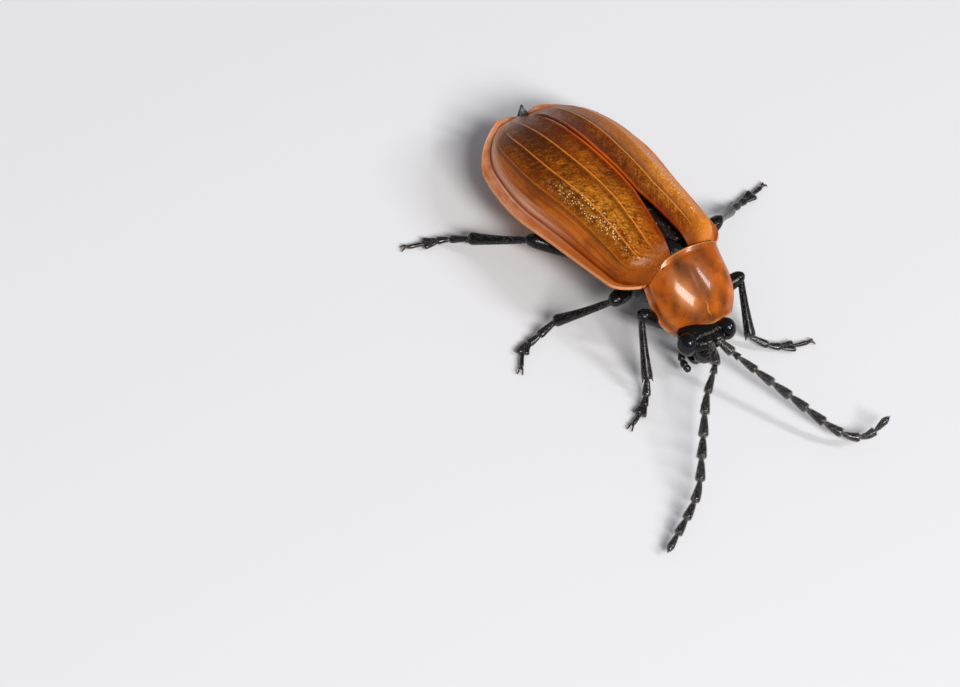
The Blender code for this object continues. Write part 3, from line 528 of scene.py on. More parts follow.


# %% [markdown]
# The amber changes from place to place: gold near the base, darker in a band on the top and before the tip,
# and pale towards the tip and the outer flank, which is a painted sheen where light falls on the steep end.
# Such places could be painted by hand on an unwrapped image. Here they are masks, one value for each point of
# the mesh, and the finish reads them by name.

# %% Masks of a wing case


def case_masks(u, across, side, fade, at_tip, groove):
    """Shares for the finish: for most, a bell along the case times a bell across it."""
    along = u[:, None] + 0 * across
    border = (across / 1.44) ** 4 + (np.clip(along - 0.5, 0, 1) / 0.43) ** 4
    masks = {
        "along": along,
        "across": across,
        "fade": fade,
        # groove between dome and rim: painted shade
        "groove": groove,
        "edge": bell(across - across[-1], 0.10),
        "rim": np.clip(np.clip((across - np.pi / 2) * 8, 0, 1) + at_tip, 0, 1),
        # flank: plainer and more orange, with a painted sheen where the steep side catches the light
        "flank": bell(across - 1.52, 0.22) * ramp(along, 0.05, 0.3),
        # pale: painted sheen towards the tip and the outer flank
        "pale": ramp(border, 0.70, 0.45) * ramp(along, 0.30, 0.3),
        "tip": bell(along - 0.76, 0.14) * bell(across - 0.55, 0.50),
        # seam: painted shade along the inner edge, wider on the left case
        "seam": bell(across, {"right": 0.13, "left": 0.22}[side]) * bell(along - 0.55, 0.30),
        "top": np.clip((1.22 - across) / 0.35, 0, 1),
        "dark": bell(along - 0.40, 0.15) * bell(across - 0.98 + 0.2 * along, 0.10),
        "gold": bell(along - 0.27, 0.17) * bell(across - 0.60, 0.40),
        # glow: a painted line of light along the seam
        "glow": bell(across - 0.012, 0.016) * bell(along - 0.50, 0.24),
        # beside: painted shade along one side of each rib
        "beside": sum(bell(across - rib - 0.055, 0.04) for rib, _ in RIBS) * fade,
        "warm": float(side == "left") * ramp(across, 0.30, 0.5),
        # base and wedge: painted shade along the base and in the wedge where the cases part
        "base": bell(along, 0.06),
        "wedge": bell(across, 0.10) * np.clip((0.30 - along) / 0.1, 0, 1),
        # glint: the band for the painted glints
        "glint": bell(along - 0.28, 0.20) * bell(across - 0.66 - 0.4 * along, 0.13),
    }
    return {name: values + 0 * along for name, values in masks.items()}


# %% [markdown]
# A shell needs an outer and an inner face. Solidify could give it its thickness, but the case thins out
# towards the rim and the tip, so both faces are worked out: the relief goes out along the normal of the
# section, and the thickness goes in. A short collar bends down in front, behind the neck shield.

# %% Shell of a wing case
CASE_SKIN = 0.11
CASE_LIFT = {"right": 0.16, "left": 0.13}
COLLAR_ROWS = 5


def front_collar(across):
    """Steps from the base: sine forwards and 1 - cosine down, less of both towards the rim."""
    bend = np.linspace(np.pi / 2, np.pi / 10, COLLAR_ROWS)[:, None]
    collar = np.stack([-0.02 * np.sin(bend), 0.07 * np.sin(bend), -0.30 * (1 - np.cos(bend))], -1)
    return collar * (0.06 + 0.94 * np.cos(np.minimum(across, np.pi / 2)) ** 0.7)[:, None]


def case_shell(side):
    """Outer face: section plus relief times normal. Inner face: section less thickness times normal."""
    u = case_rows()
    x, z, height, across = case_section(u, side)
    fade, at_tip, groove = case_marks(u, across)
    relief = case_relief(u, across, fade, groove)
    along_x, along_z = np.gradient(x, axis=1), np.gradient(z, axis=1)
    length = np.hypot(along_x, along_z)
    normal_x, normal_z = -along_z / length, along_x / length
    y = np.repeat(-(CASE_LENGTH * u + 0.01)[:, None], x.shape[1], 1)
    lift = CASE_LIFT[side] * -y / CASE_LENGTH
    skin = CASE_SKIN * np.minimum(1, 0.35 + height / 0.9)
    outer = np.stack([x + normal_x * relief, y, z + normal_z * relief + lift], -1)
    inner = np.stack([x - normal_x * skin, y, z - normal_z * skin + lift], -1)
    collar = front_collar(across)
    masks = case_masks(u, across, side, fade, at_tip, groove)
    masks = {name: np.concatenate([mask[:1].repeat(COLLAR_ROWS, 0), mask]) for name, mask in masks.items()}
    return np.concatenate([outer[:1] + collar, outer]), np.concatenate([inner[:1] + collar, inner]), masks


# %% [markdown]
# ## Amber finish
# Amber cuticle is clear brown and finely mottled. One noise won't do: clouds a millimetre across, patches,
# a fine grain, streaks along the case and slanting strokes are laid together. The streaks and strokes follow
# the shell, because their noise reads the masks along and across, as millimetres, instead of the place in
# space. They are stretched before they reach the noise, which then keeps a scale of one.

# %% Patterns in the amber
MM_TO_RADIAN = 1.7
SCALE_OF_ONE = MM
amber = Finish("amber_case", Coat_Weight=0.08, Coat_Roughness=0.2, Specular_IOR_Level=0.2,
               Specular_Tint=(1.0, 0.62, 0.30, 1), Coat_Tint=(1.0, 0.85, 0.7, 1))
along, across, top = amber.mask("along"), amber.mask("across"), amber.mask("top")
run_mm, way_mm = amber.times(along, CASE_LENGTH), amber.times(across, MM_TO_RADIAN)
lay = amber.node("CombineXYZ", {0: amber.times(way_mm, 9.0), 1: amber.times(run_mm, 0.55)})
slant = amber.node("CombineXYZ", {
    0: amber.times(amber.math("ADD", run_mm, way_mm), 2.2),
    1: amber.times(amber.math("SUBTRACT", run_mm, way_mm), 10.0),
})
streak = amber.noise(SCALE_OF_ONE, 4.0, 0.6, 0.4, vector=lay)
stroke = amber.noise(SCALE_OF_ONE, 3.0, 0.6, 0.5, vector=slant)
cloud = amber.noise(0.8, 5.0, 0.62, 0.3)
patches = amber.noise(3.2, 5.0, 0.7)
grain = amber.noise(19.0, 3.0, 0.7)
clustered = amber.times(grain, amber.spread(patches, 0.35, 0.60, 0.82, 1.08))
print("patterns in the amber:", len(amber.tree.nodes), "nodes")

# %% [markdown]
# The colours go on like thin glazes: first the clouds, then gold near the base, dark patches and streaks on
# the top, and then painted shade: beside each rib, a reddish painted shade along the seam, and painted shade
# in the wedge where the cases part and along the base next to the neck shield. Each glaze has a share, a
# strength and a colour.

# %% Top of the wing case
case_shade = amber.layers(
    amber.blend(amber.spread(cloud, 0.38, 0.62), (0.18, 0.030, 0.001), (0.57, 0.140, 0.005)),
    ("gold", 0.6, (0.95, 0.40, 0.04)),
    (amber.times(amber.spread(patches, 0.46, 0.60), top), 0.9, (0.12, 0.028, 0.001)),
    ("dark", 0.8, (0.09, 0.020, 0.001)),
    (amber.spread(streak, 0.52, 0.34), 0.75, (0.25, 0.036, 0.001)),
    (amber.times(amber.spread(stroke, 0.48, 0.34), top), 0.6, (0.08, 0.014, 0.001)),
    (amber.times(amber.spread(stroke, 0.56, 0.70), top), 0.4, (0.95, 0.36, 0.03)),
    (amber.times(amber.spread(clustered, 0.54, 0.34), top), 0.6, (0.06, 0.011, 0.001)),
    (amber.times(amber.spread(clustered, 0.58, 0.74), top), 0.4, (0.90, 0.30, 0.025)),
    # painted shade beside the ribs
    ("beside", 0.6, (0.085, 0.015, 0.001)),
    ("tip", 0.62, (0.055, 0.014, 0.001)),
    # painted shade along the seam, in the wedge and along the base
    ("seam", 0.8, (0.09, 0.006, 0.001)),
    ("wedge", 0.75, (0.16, 0.012, 0.001)),
    ("base", 0.7, (0.16, 0.030, 0.002)),
)
print("after the top:", len(amber.tree.nodes), "nodes")

# %% [markdown]
# The flank is plainer and more orange, with a painted sheen where its steep side catches the light. Towards
# the tip and the outer flank the case is painted pale as a sheen, and a painted red glow of light lines the
# seam. The ribs stand up in the mesh already, but their pale lines are drawn by the shader, since a line so
# thin would look jagged as a mask on the mesh's points.

# %% Flank, pale tip and ribs
streaked = amber.spread(streak, 0.40, 0.62)
case_shade = amber.layers(
    case_shade,
    # painted sheen on the flank
    ("flank", 0.85, amber.blend(streaked, (0.40, 0.085, 0.008), (0.62, 0.19, 0.04))),
    ("warm", 0.6, (0.86, 0.27, 0.02)),
    # painted pale sheen towards the tip and the outer flank
    ("pale", 0.92, amber.blend(streaked, (0.80, 0.40, 0.23), (0.98, 0.70, 0.52))),
    # painted glow of light along the seam
    ("glow", 0.9, (0.85, 0.14, 0.006)),
)
broken = amber.spread(patches, 0.30, 0.50, 0.45, 1.0)
for rib, strength in RIBS:
    from_rib = amber.math("ABSOLUTE", amber.math("SUBTRACT", across, rib))
    line = amber.times(amber.spread(from_rib, 0.016, 0.005), amber.mask("fade"))
    case_shade = amber.layers(case_shade, (amber.times(line, broken), 0.8 * strength, (0.86, 0.27, 0.035)))
print("after the ribs:", len(amber.tree.nodes), "nodes")

# %% [markdown]
# The rim is translucent, pink as horn towards the tip and more orange at the base. Painted glints, small
# golden cells in the base colour, stand in a band along the top, where pits would catch the light, kept only
# where the mask allows. The groove between dome and rim is painted dark as shade. Pits, streaks and grain are
# bumps one on top of the other.

# %% Rim, painted glints and relief
rim_shade = amber.layers(
    amber.blend(amber.spread(amber.noise(2.5, 4.0), 0.35, 0.62), (0.54, 0.15, 0.04), (0.72, 0.36, 0.21)),
    (amber.spread(streak, 0.50, 0.36, 0.0, 0.8), 1.0, (0.36, 0.07, 0.014)),
    (amber.spread(along, 0.75, 0.25), 1.0, (0.52, 0.15, 0.03)),
)
# painted glints: small bright golden cells in the base colour
painted_glints = amber.spread(amber.cells(17.0), 0.42, 0.20)
painted_glints = amber.times(painted_glints, amber.spread(amber.noise(6.0, 3.0), 0.44, 0.54))
painted_glints = amber.times(painted_glints, amber.spread(amber.mask("glint"), 0.08, 0.5))
case_shade = amber.layers(
    case_shade,
    ("rim", 1.0, rim_shade),
    # painted shade in the groove
    ("groove", 0.8, (0.20, 0.014, 0.003)),
    ("edge", 0.45, (0.84, 0.42, 0.22)),
    (painted_glints, 1.0, (1.0, 0.68, 0.30)),
)
pitted = amber.bump(amber.cells(20.0), 0.010, 0.5)
ridged = amber.bump(streak, 0.010, 0.3, pitted)
amber_finish = amber.feed(
    Base_Color=case_shade,
    Normal=amber.bump(grain, 0.018, 0.45, ridged),
    Roughness=amber.spread(cloud, 0.3, 0.7, 0.42, 0.28),
)
print("the whole amber finish:", len(amber.tree.nodes), "nodes")

# %% [markdown]
# Both shells come from the same function. A Mirror modifier would make them alike in everything. Here the
# left one is worked out with its own gap and lift, and its points are mirrored across the middle plane.

# %% Wing cases in place


def both_faces(masks):
    """Masks of a grid repeated for the inner face, whose points follow those of the outer face."""
    return {name: np.concatenate([values.ravel()] * 2) for name, values in masks.items()}


for side, mirror in SIDES.items():
    outer_face, inner_face, face_masks = case_shell(side)
    shell = plate(outer_face * (mirror, 1, 1), inner_face * (mirror, 1, 1))
    node = "wing_case_" + side
    piece("amber_" + node, shell, "trunk", [node], amber_finish, masks=both_faces(face_masks))

# %% [markdown]
# ## Neck shield
# The shield over the front of the thorax is a glossy orange-brown dome, a little longer than wide, with a
# thin raised margin along its sides that broadens forwards. It could be a bent and subdivided plane, but its
# outline changes from rear to front, so it is one grid of shares along its length and angles across.

# %% Margins of the shield
SHIELD_LENGTH = 2.15
SHIELD_HALVES = np.polyfit(np.linspace(0, 1, 4), (1.185, 1.19, 1.174, 0.868), 3)
SHIELD_DROPS = np.polyfit(np.linspace(0, 1, 3), (0.517, 0.755, 0.604), 2)
shield_share = np.linspace(0, 1, 110)[:, None]
shield_angle = np.linspace(-np.pi / 2, np.pi / 2, 150)[None]
from_edge = (np.pi / 2 - np.abs(shield_angle)) / (1 + 1.1 * shield_share**2)
side_bead = bell(from_edge, 0.07)
side_groove = bell(from_edge - 0.17, 0.06)
end_bead = bell(shield_share, 0.014) + bell(1 - shield_share, 0.022)
print("the shield's grid is", side_bead.shape)


def shield_roof(share):
    """Height of the shield's middle line: half a sine wave less a cube of the share."""
    return 0.12 * np.sin(np.pi * share) - 0.10 * share**3


# %% [markdown]
# The upper and lower face of the shield come from one function, the lower one with a depth. The rear edge
# bows forwards at the sides, the front edge is cut back at its corners.

# %% Surface of the shield


def shield_grid(depth=0.0):
    """A dome: x is a sine of the angle across, z falls by 1 - cosine to the 0.9, y runs rear to front."""
    share, angle = shield_share, shield_angle
    arch = np.clip(np.cos(angle), 0, 1) ** 0.9
    end_groove = bell(share - 0.07, 0.03) + bell(0.92 - share, 0.03)
    relief = 0.040 * side_bead - 0.016 * side_groove + 0.007 * end_bead - 0.008 * end_groove
    relief = relief - 0.008 * bell(angle, 0.07) * np.sin(np.pi * share) ** 2
    x = (np.polyval(SHIELD_HALVES, share) + relief) * np.sin(angle)
    rear = 0.26 * np.sin(angle) ** 2
    front = SHIELD_LENGTH - 0.07 * np.abs(np.sin(angle)) ** 7
    y = rear + share * (front - rear)
    z = shield_roof(share) - np.polyval(SHIELD_DROPS, share) * (1 - arch)
    z = z + relief * np.cos(angle) - depth * (0.55 + 0.45 * arch)
    return np.stack([x * (1 - 0.02 * (depth > 0)), y, z], -1)


# %% [markdown]
# The shield is darker in smudges and has a few darker spots, all at places of their own, and a darker band
# runs along its front edge. Each is a round bell at an angle, a share and a size, and a noise in the finish
# breaks up their outlines. An image painted by hand would do as well, but it would have to be kept beside the
# script.

# %% Masks of the shield
SMUDGES = (
    (0.40, 0.86, 0.22), (0.12, 0.92, 0.20), (0.28, 0.13, 0.22), (0.05, 0.32, 0.16), (-0.05, 0.60, 0.20),
    (-0.42, 0.16, 0.20), (-0.50, 0.80, 0.16), (0.75, 0.60, 0.20), (-0.85, 0.52, 0.14),
)
SPOTS = (
    (0.98, 0.37, 0.05), (0.95, 0.46, 0.04), (0.26, 0.14, 0.08), (0.11, 0.15, 0.05),
    (-0.95, 0.37, 0.05), (-0.92, 0.46, 0.04), (-0.22, 0.16, 0.07), (0.0, 0.90, 0.05),
)


def round_marks(marks, stretch):
    """The sum of bells of the distance to each mark, with shares stretched to the scale of angles."""
    return sum(
        bell(np.hypot(shield_angle - angle, stretch * (shield_share - share)), size)
        for angle, share, size in marks
    )


shield_masks = {
    "side": side_bead,
    # groove: painted shade inside the margin
    "groove": side_groove,
    "ends": np.clip(end_bead, 0, 1) + 0 * shield_angle,
    "shade": np.clip(round_marks(SMUDGES, 1.3) + 0.6 * bell(shield_share - 0.95, 0.05), 0, 1),
    "line": bell(shield_angle - 0.02 * np.sin(shield_share * 40), 0.012) * bell(shield_share - 0.80, 0.10),
    "spots": np.clip(round_marks(SPOTS, 1.4), 0, 1),
}
print("masks of the shield:", ", ".join(shield_masks))

# %% [markdown]
# The orange finish is smoother than the amber: clouds and smudges under a clear coat with broad highlights.
# The margin is paler and a little pink, the groove inside it is painted dark as shade, and a thin yellow line
# marks the middle near the front.

# %% Orange finish
orange = Finish("orange_shield", Coat_Weight=0.36, Coat_Roughness=0.11, Specular_IOR_Level=0.35,
                Specular_Tint=(1.0, 0.72, 0.45, 1), Coat_Tint=(1.0, 0.86, 0.70, 1))
cloud = orange.noise(0.9, 4.0, 0.55, 0.5)
smudge = orange.spread(orange.noise(1.6, 6.0, 0.62, 0.6), 0.50, 0.68)
patchy = orange.spread(orange.noise(2.6, 5.0, 0.65), 0.30, 0.60, 0.35, 0.9)
flecked = orange.spread(orange.noise(7.0, 4.0, 0.7), 0.36, 0.60)
margin = orange.blend(orange.spread(orange.noise(4.0, 4.0), 0.4, 0.6), (0.52, 0.17, 0.06), (0.74, 0.38, 0.24))
shield_shade = orange.layers(
    orange.blend(orange.spread(cloud, 0.35, 0.65), (0.24, 0.042, 0.001), (0.56, 0.135, 0.005)),
    (smudge, 0.6, (0.10, 0.020, 0.002)),
    (orange.times(orange.mask("shade"), patchy), 1.0, (0.075, 0.016, 0.002)),
    (orange.times(orange.mask("spots"), flecked), 0.85, (0.020, 0.006, 0.002)),
    # painted shade in the groove
    ("groove", 0.5, (0.14, 0.02, 0.003)),
    ("side", 0.85, margin),
    ("ends", 0.6, (0.60, 0.24, 0.06)),
    ("line", 0.7, (0.75, 0.36, 0.07)),
)
ripple = orange.bump(orange.noise(2.2, 2.0), 0.03, 0.25)
orange_finish = orange.feed(
    Base_Color=shield_shade,
    Normal=orange.bump(orange.cells(24.0), 0.003, 0.2, ripple),
    Roughness=orange.spread(cloud, 0.3, 0.7, 0.36, 0.26),
)
print("orange finish:", len(orange.tree.nodes), "nodes")

# %% [markdown]
# The shield is a plate like the wing cases, a little over a tenth of a millimetre thick. Solidify would give
# it the same wall everywhere. Here the wall gets thinner towards the sides, so that the edge looks fine.

# %% Shield in place
shield = plate(shield_grid(), shield_grid(depth=0.13))
piece("neck_shield", shield, "shield", ["pronotum"], orange_finish, masks=both_faces(shield_masks))

# %% [markdown]
# ## Black cuticle
# Head, legs, feelers and the underside are black, with a fine leathery grain. Plain black would look like
# paint, so small cells and a finer noise are pressed into it as bumps, and break up its highlights. Feelers,
# feet and mouth parts are smoother, and get a glossier black of their own.

# %% Black finishes
black = Finish("black_cuticle", Specular_IOR_Level=0.24, Coat_Weight=0.04, Coat_Roughness=0.12)
mottle = black.spread(black.noise(6.0), 0.4, 0.7)
leather = black.bump(black.cells(30.0), 0.005, 0.5)
black_finish = black.feed(
    Base_Color=black.blend(mottle, (0.002, 0.002, 0.0025), (0.007, 0.005, 0.004)),
    Normal=black.bump(black.noise(14.0, 3.0), 0.006, 0.5, leather),
    Roughness=black.spread(black.noise(8.0), 0.3, 0.7, 0.17, 0.30),
)
gloss = Finish("black_gloss", Roughness=0.2, Specular_IOR_Level=0.55, Coat_Weight=0.1, Coat_Roughness=0.08)
gloss_finish = gloss.feed(
    Base_Color=gloss.blend(gloss.noise(4.0), (0.002, 0.002, 0.0025), (0.008, 0.006, 0.005)),
    Normal=gloss.bump(gloss.noise(14.0, 3.0), 0.010, 0.6),
)
print("black finishes:", black_finish.name, gloss_finish.name)

# %% [markdown]
# An eye is made of hundreds of facets. Modelling them would take a great many points, so a pattern of cells
# with hardly any randomness puts even dimples on a smooth ball instead.

# %% Finish of the eyes
eye = Finish("eye_facets", Roughness=0.16, Specular_IOR_Level=0.3)
sheen = eye.spread(eye.noise(3.0), 0.4, 0.7)
eye_finish = eye.feed(
    Base_Color=eye.blend(sheen, (0.002, 0.002, 0.003), (0.006, 0.006, 0.010)),
    Normal=eye.bump(eye.cells(34.0, randomness=0.15), 0.004, 0.5),
)
print("eye finish:", eye_finish.name)

# %% [markdown]
# ## Head
# The head capsule is broadest across the eyes and narrows down to the mouth. It could be sculpted from a
# ball. Here rounded rings are stacked from crown to mouth, each with its height, half width, front and back,
# so that the profile of the face can be read off a table.

# %% Outline of the head
HEAD_RINGS = np.array([
    (0.11, 0.36, 0.16, -0.34),
    (0.06, 0.54, 0.33, -0.52),
    (-0.05, 0.64, 0.41, -0.66),
    (-0.19, 0.66, 0.40, -0.70),
    (-0.37, 0.60, 0.29, -0.68),
    (-0.57, 0.50, 0.17, -0.62),
    (-0.76, 0.44, 0.07, -0.54),
    (-0.885, 0.37, 0.02, -0.44),
])


def head_outline(rows=90, columns=128):
    """Half width times cosine, half depth times sine to the 0.85, in rings; returns x, y, z and angle."""
    spots, _ = smooth_line(HEAD_RINGS[:, :3], rows)
    backs, _ = smooth_line(HEAD_RINGS[:, [0, 1, 3]], rows)
    z, half, front = spots.T
    back = np.interp(-z, -backs[:, 0], backs[:, 2])
    angle = np.arange(columns) * 2 * np.pi / columns
    middle, deep = (front + back)[:, None] / 2, (front - back)[:, None] / 2
    temple = 1 + 0.09 * bell(z + 0.12, 0.24)
    x = (half * temple)[:, None] * np.cos(angle)
    y = middle + deep * np.sign(np.sin(angle)) * np.abs(np.sin(angle)) ** 0.85
    return x, y, z[:, None] + 0 * x, angle


print("the head's rings reach from z", HEAD_RINGS[-1, 0], "to", HEAD_RINGS[0, 0], "mm")

# %% [markdown]
# The face carries two low knobs with a furrow between them, raised rings round the sockets of the feelers and
# round the eyes, a ridge down the middle and a swelling on each cheek. All are bells on the place across and
# up the face, and only the front half of the rings is moved by them.

# %% Relief of the face
SOCKET_OFFSET = np.array([0.115, 0.45, 0.0])
HEAD_SHIFT = 0.02


def face_relief(x, z):
    """Knobs, rings and ridges as bells, less the furrow, the sockets and a fine line down each cheek."""
    shifted = x + HEAD_SHIFT
    knob = bell(np.abs(shifted) - 0.13, 0.08) * bell(z - 0.07, 0.035)
    furrow = bell(shifted, 0.02) * bell(z - 0.03, 0.12) + bell(z - 0.105, 0.012) * bell(shifted, 0.4)
    from_socket = np.hypot(np.abs(x) - SOCKET_OFFSET[0], z - SOCKET_OFFSET[2])
    socket = 0.05 * bell(from_socket - 0.12, 0.022) - 0.05 * bell(from_socket, 0.075)
    to_eye = np.hypot((np.abs(x) - 0.70) / 0.9, z + 0.02)
    ridge = bell(x, 0.045) * bell(z + 0.16, 0.12)
    cheek_line = bell(np.abs(x) + 0.9 * z + 0.12, 0.02) * (z < -0.12)
    cheek = bell(np.abs(x) - 0.36, 0.10) * bell(z + 0.42, 0.16)
    relief = 0.06 * knob - 0.04 * furrow + socket + 0.04 * bell(to_eye - 0.33, 0.03) + 0.06 * ridge
    return relief - 0.015 * cheek_line + 0.02 * cheek - 0.015


head_x, head_y, head_z, head_angle = head_outline()
head_y = head_y + face_relief(head_x, head_z) * (np.sin(head_angle) > 0)
head_rings = np.stack([head_x + HEAD_SHIFT, head_y, head_z], -1)
piece("head_shell", tube(head_rings), "head", ["head_capsule"], black_finish)

# %% [markdown]
# A brow ridge runs across the crown. It is a tube of its own, because its uneven glossy edge has to catch the
# light apart from the face. The knobs and the eyes are ellipsoids, made ring by ring like everything else, so
# that they need no modifier.

# %% Brow ridge, knobs and eyes


def ball(centre, sizes, rows=40, columns=64):
    """An ellipsoid: rings of the cosine of a height angle, at its sine; the open ends are closed by tube."""
    near_pole = np.pi / 2 - 0.04
    height = np.linspace(-near_pole, near_pole, rows)[:, None]
    angle = (np.arange(columns) * 2 * np.pi / columns)[None]
    x, y = np.cos(height) * np.cos(angle), np.cos(height) * np.sin(angle)
    return tube(np.stack([x, y, np.sin(height) + 0 * angle], -1) * sizes + centre)


BROW_POINTS = np.array([
    (-0.54, 0.066, 0.07), (-0.30, 0.045, 0.105), (-0.066, 0.086, 0.115),
    (0.15, 0.08, 0.115), (0.36, 0.073, 0.105), (0.52, 0.09, 0.06),
])
brow_path = along_line(smooth_line(BROW_POINTS)[0], np.linspace(0, 1, 40))
brow = swept(brow_path, 0.026 + 0.006 * np.sin(np.arange(40) * 1.3), up=(0, 0.1, 1), sides=16)
knobs = [ball((0.15 * sign, 0.25, 0.06), np.array([0.13, 0.13, 0.085]), 20, 32) for sign in (1, -1)]
piece("brow_and_knobs", together([tube(brow), *knobs]), "head", [], gloss_finish)
EYE_SIZES = np.array([0.255, 0.29, 0.335])
for side, sign in SIDES.items():
    eye_ball = ball((EYE_OFFSET + EYE_SHIFT) * (sign, 1, 1) + (0.055, 0, 0), EYE_SIZES)
    piece("compound_eye_" + side, eye_ball, "head", ["eye_" + side], eye_finish)

# %% [markdown]
# ## Mouth
# Below the face hang the upper lip and the two jaws, closed under it. They could be boxes with rounded edges.
# Stacked ovals read from a table give them the same rounding with fewer steps. Two marks are pressed in: a
# ring on the lip, and the line where the jaws meet.

# %% Lip and jaws


def stacked(table, rows=30, columns=48):
    """A rounded block from a table of height, half width, front and back: ovals joined by a smooth line."""
    table = np.array(table)
    line, _ = smooth_line(table[:, :3], rows)
    back = np.interp(-line[:, 0], -table[:, 0], table[:, 3])
    z, half, front = line.T
    angle = np.arange(columns) * 2 * np.pi / columns
    x = half[:, None] * np.cos(angle)
    y = (front + back)[:, None] / 2 + (front - back)[:, None] / 2 * np.sin(angle)
    return np.stack([x, y, z[:, None] + 0 * x], -1)


LABRUM = (
    (-0.24, 0.07, 0.36, -0.03), (-0.30, 0.16, 0.44, -0.04), (-0.41, 0.24, 0.50, -0.05),
    (-0.53, 0.27, 0.52, -0.05), (-0.65, 0.26, 0.48, -0.05), (-0.77, 0.21, 0.36, -0.05),
    (-0.90, 0.13, 0.17, -0.03),
)
JAWS = (
    (-0.80, 0.24, -0.13, -0.38), (-0.97, 0.26, -0.13, -0.36), (-1.02, 0.27, 0.06, -0.32),
    (-1.12, 0.22, 0.09, -0.22), (-1.21, 0.09, 0.06, -0.07),
)
LIP_SHIFT = 0.10
lip = stacked(LABRUM)
lip[..., 0] += LIP_SHIFT
round_lip = np.hypot(lip[..., 0] - LIP_SHIFT, lip[..., 2] + 0.53)
lip[..., 1] -= 0.035 * bell(round_lip - 0.15, 0.02) * (lip[..., 1] > 0.1)
piece("upper_lip", tube(lip), "head", ["labrum"], gloss_finish)
jaws = stacked(JAWS)
jaws[..., 1] -= 0.05 * bell(jaws[..., 0], 0.025) * (jaws[..., 1] > -0.1)
piece("jaws", tube(jaws), "head", ["mandibles"], gloss_finish)

# %% [markdown]
# Beside the jaws hang two palps, small jointed feelers of the mouth. Each has four joints along a curve, and
# a joint is told by four numbers: where it begins and ends, and its radius near and far.

# %% Palps
PALP_POINTS = np.array([
    (0.40, -0.34, -0.70), (0.50, -0.22, -0.84), (0.52, -0.04, -0.97),
    (0.47, 0.11, -1.07), (0.40, 0.20, -1.14),
])
PALP_JOINTS = (
    (0.0, 0.26, 0.07, 0.085), (0.25, 0.50, 0.07, 0.11), (0.49, 0.74, 0.075, 0.115), (0.73, 1.0, 0.10, 0.025),
)


def palp(sign):
    """Four joints along a curve, each swelling towards its far end but the last, which tapers."""
    line, _ = smooth_line(PALP_POINTS * (sign, 1, 1))
    joints = []
    for begin, end, near, far in PALP_JOINTS:
        share, radius = rounded([(0, near * 0.6), (0.12, near), (0.75, max(near, far)), (1, far * 0.7)], 14)
        path = along_line(line, begin + share * (end - begin))
        joints.append(tube(swept(path, radius, up=(sign, 0, 0.01), sides=20)))
    return together(joints)


for side, sign in SIDES.items():
    piece("jointed_palp_" + side, palp(sign), "head", ["palp_" + side], gloss_finish)

# %% [markdown]
# ## Feelers
# Each feeler has eleven joints. The first is long and stout, the second short, and the others are slender
# cones that widen towards their far ends. One cone could be modelled and copied ten times, but then it would
# have to be bent and scaled at each place. All are swept along one smooth line from the socket instead.

# %% Line and joints of a feeler
FEELER_PATHS = {
    "right": (
        (0.49, 2.53, 1.40), (1.33, 3.25, 1.20), (2.25, 4.32, 0.86), (3.16, 5.29, 0.55), (4.74, 6.15, 0.24),
    ),
    "left": (
        (-0.24, 2.76, 1.36), (-0.84, 4.23, 1.0), (-1.48, 5.62, 0.6), (-2.10, 6.09, 0.5), (-2.82, 6.09, 0.85),
    ),
}
FEELER_JOINTS = np.array((0.55, 0.22, 0.56, 0.55, 0.58, 0.55, 0.58, 0.55, 0.50, 0.46, 0.52))
FEELER_RADII = (0.145, 0.105, 0.12, 0.135, 0.14, 0.14, 0.14, 0.135, 0.13, 0.125, 0.115)
WIDEST_LATE = ((0.9, 1.0), (0.97, 0.8), (1.0, 0.45))
ENDING_IN_A_TIP = ((0.7, 0.9), (0.88, 0.62), (1.0, 0.12))


def feeler_line(side):
    """The line of a feeler in the floor frame, from inside its socket to its tip."""
    root = to_frame(SOCKET_OFFSET * (SIDES[side], 1, 1) - (0, 0.16, 0), "head")
    return smooth_line([root, *FEELER_PATHS[side]], 400)


def feeler_joints(side, first, last):
    """Cones in a row: narrow neck, widest at nine tenths, rounded over at the end; the last ends in a tip."""
    line, _ = feeler_line(side)
    ends = np.cumsum(FEELER_JOINTS) / FEELER_JOINTS.sum()
    starts = np.concatenate([[0], ends[:-1]])
    rings = []
    for n in range(first, last):
        neck = 0.42 if n > 1 else 0.6
        far = ENDING_IN_A_TIP if n == len(FEELER_JOINTS) - 1 else WIDEST_LATE
        profile = [(-0.02, neck * 0.8), (0.05, neck), (0.2, 0.62), (0.55, 0.85), *far]
        share, radius = rounded([(s, r * FEELER_RADII[n]) for s, r in profile], 26)
        path = along_line(line, starts[n] + share * (ends[n] - starts[n]))
        rings.append(swept(path, radius, sides=28))
    return rings


for side in SIDES:
    print(side, "feeler:", round(feeler_line(side)[1], 2), "mm long")

# %% [markdown]
# The solids part a feeler in three, so three pieces stand for it, of three, four and four joints. The rings
# of every joint are kept in a list, because the hairs are set on them later.

# %% Feelers in place
FEELER_PARTS = ((0, 3), (3, 7), (7, 11))
hairy = []  # grids of rings that later carry hairs: rings, frame, share of hairs, part, side
for side in SIDES:
    for number, (first, last) in enumerate(FEELER_PARTS, 1):
        joints = feeler_joints(side, first, last)
        hairy += [(rings, "floor", 1.0, "feeler", side) for rings in joints]
        node = f"feeler_{side}_{number}"
        row = together([tube(rings) for rings in joints])
        piece("jointed_" + node, row, "floor", [node], gloss_finish)

# %% [markdown]
# ## Legs
# A leg is a ball-like hip joint, a small ring joint, a swollen thigh, a shin that widens towards the foot and
# ends in spurs, and a foot of four joints with a pair of claws. An armature could pose one leg six times, but
# a still animal needs no bones: each leg is a list of points for knee, ankle and foot, read from the photo
# like those of the solids, and the fine tubes run inside the solid ones.

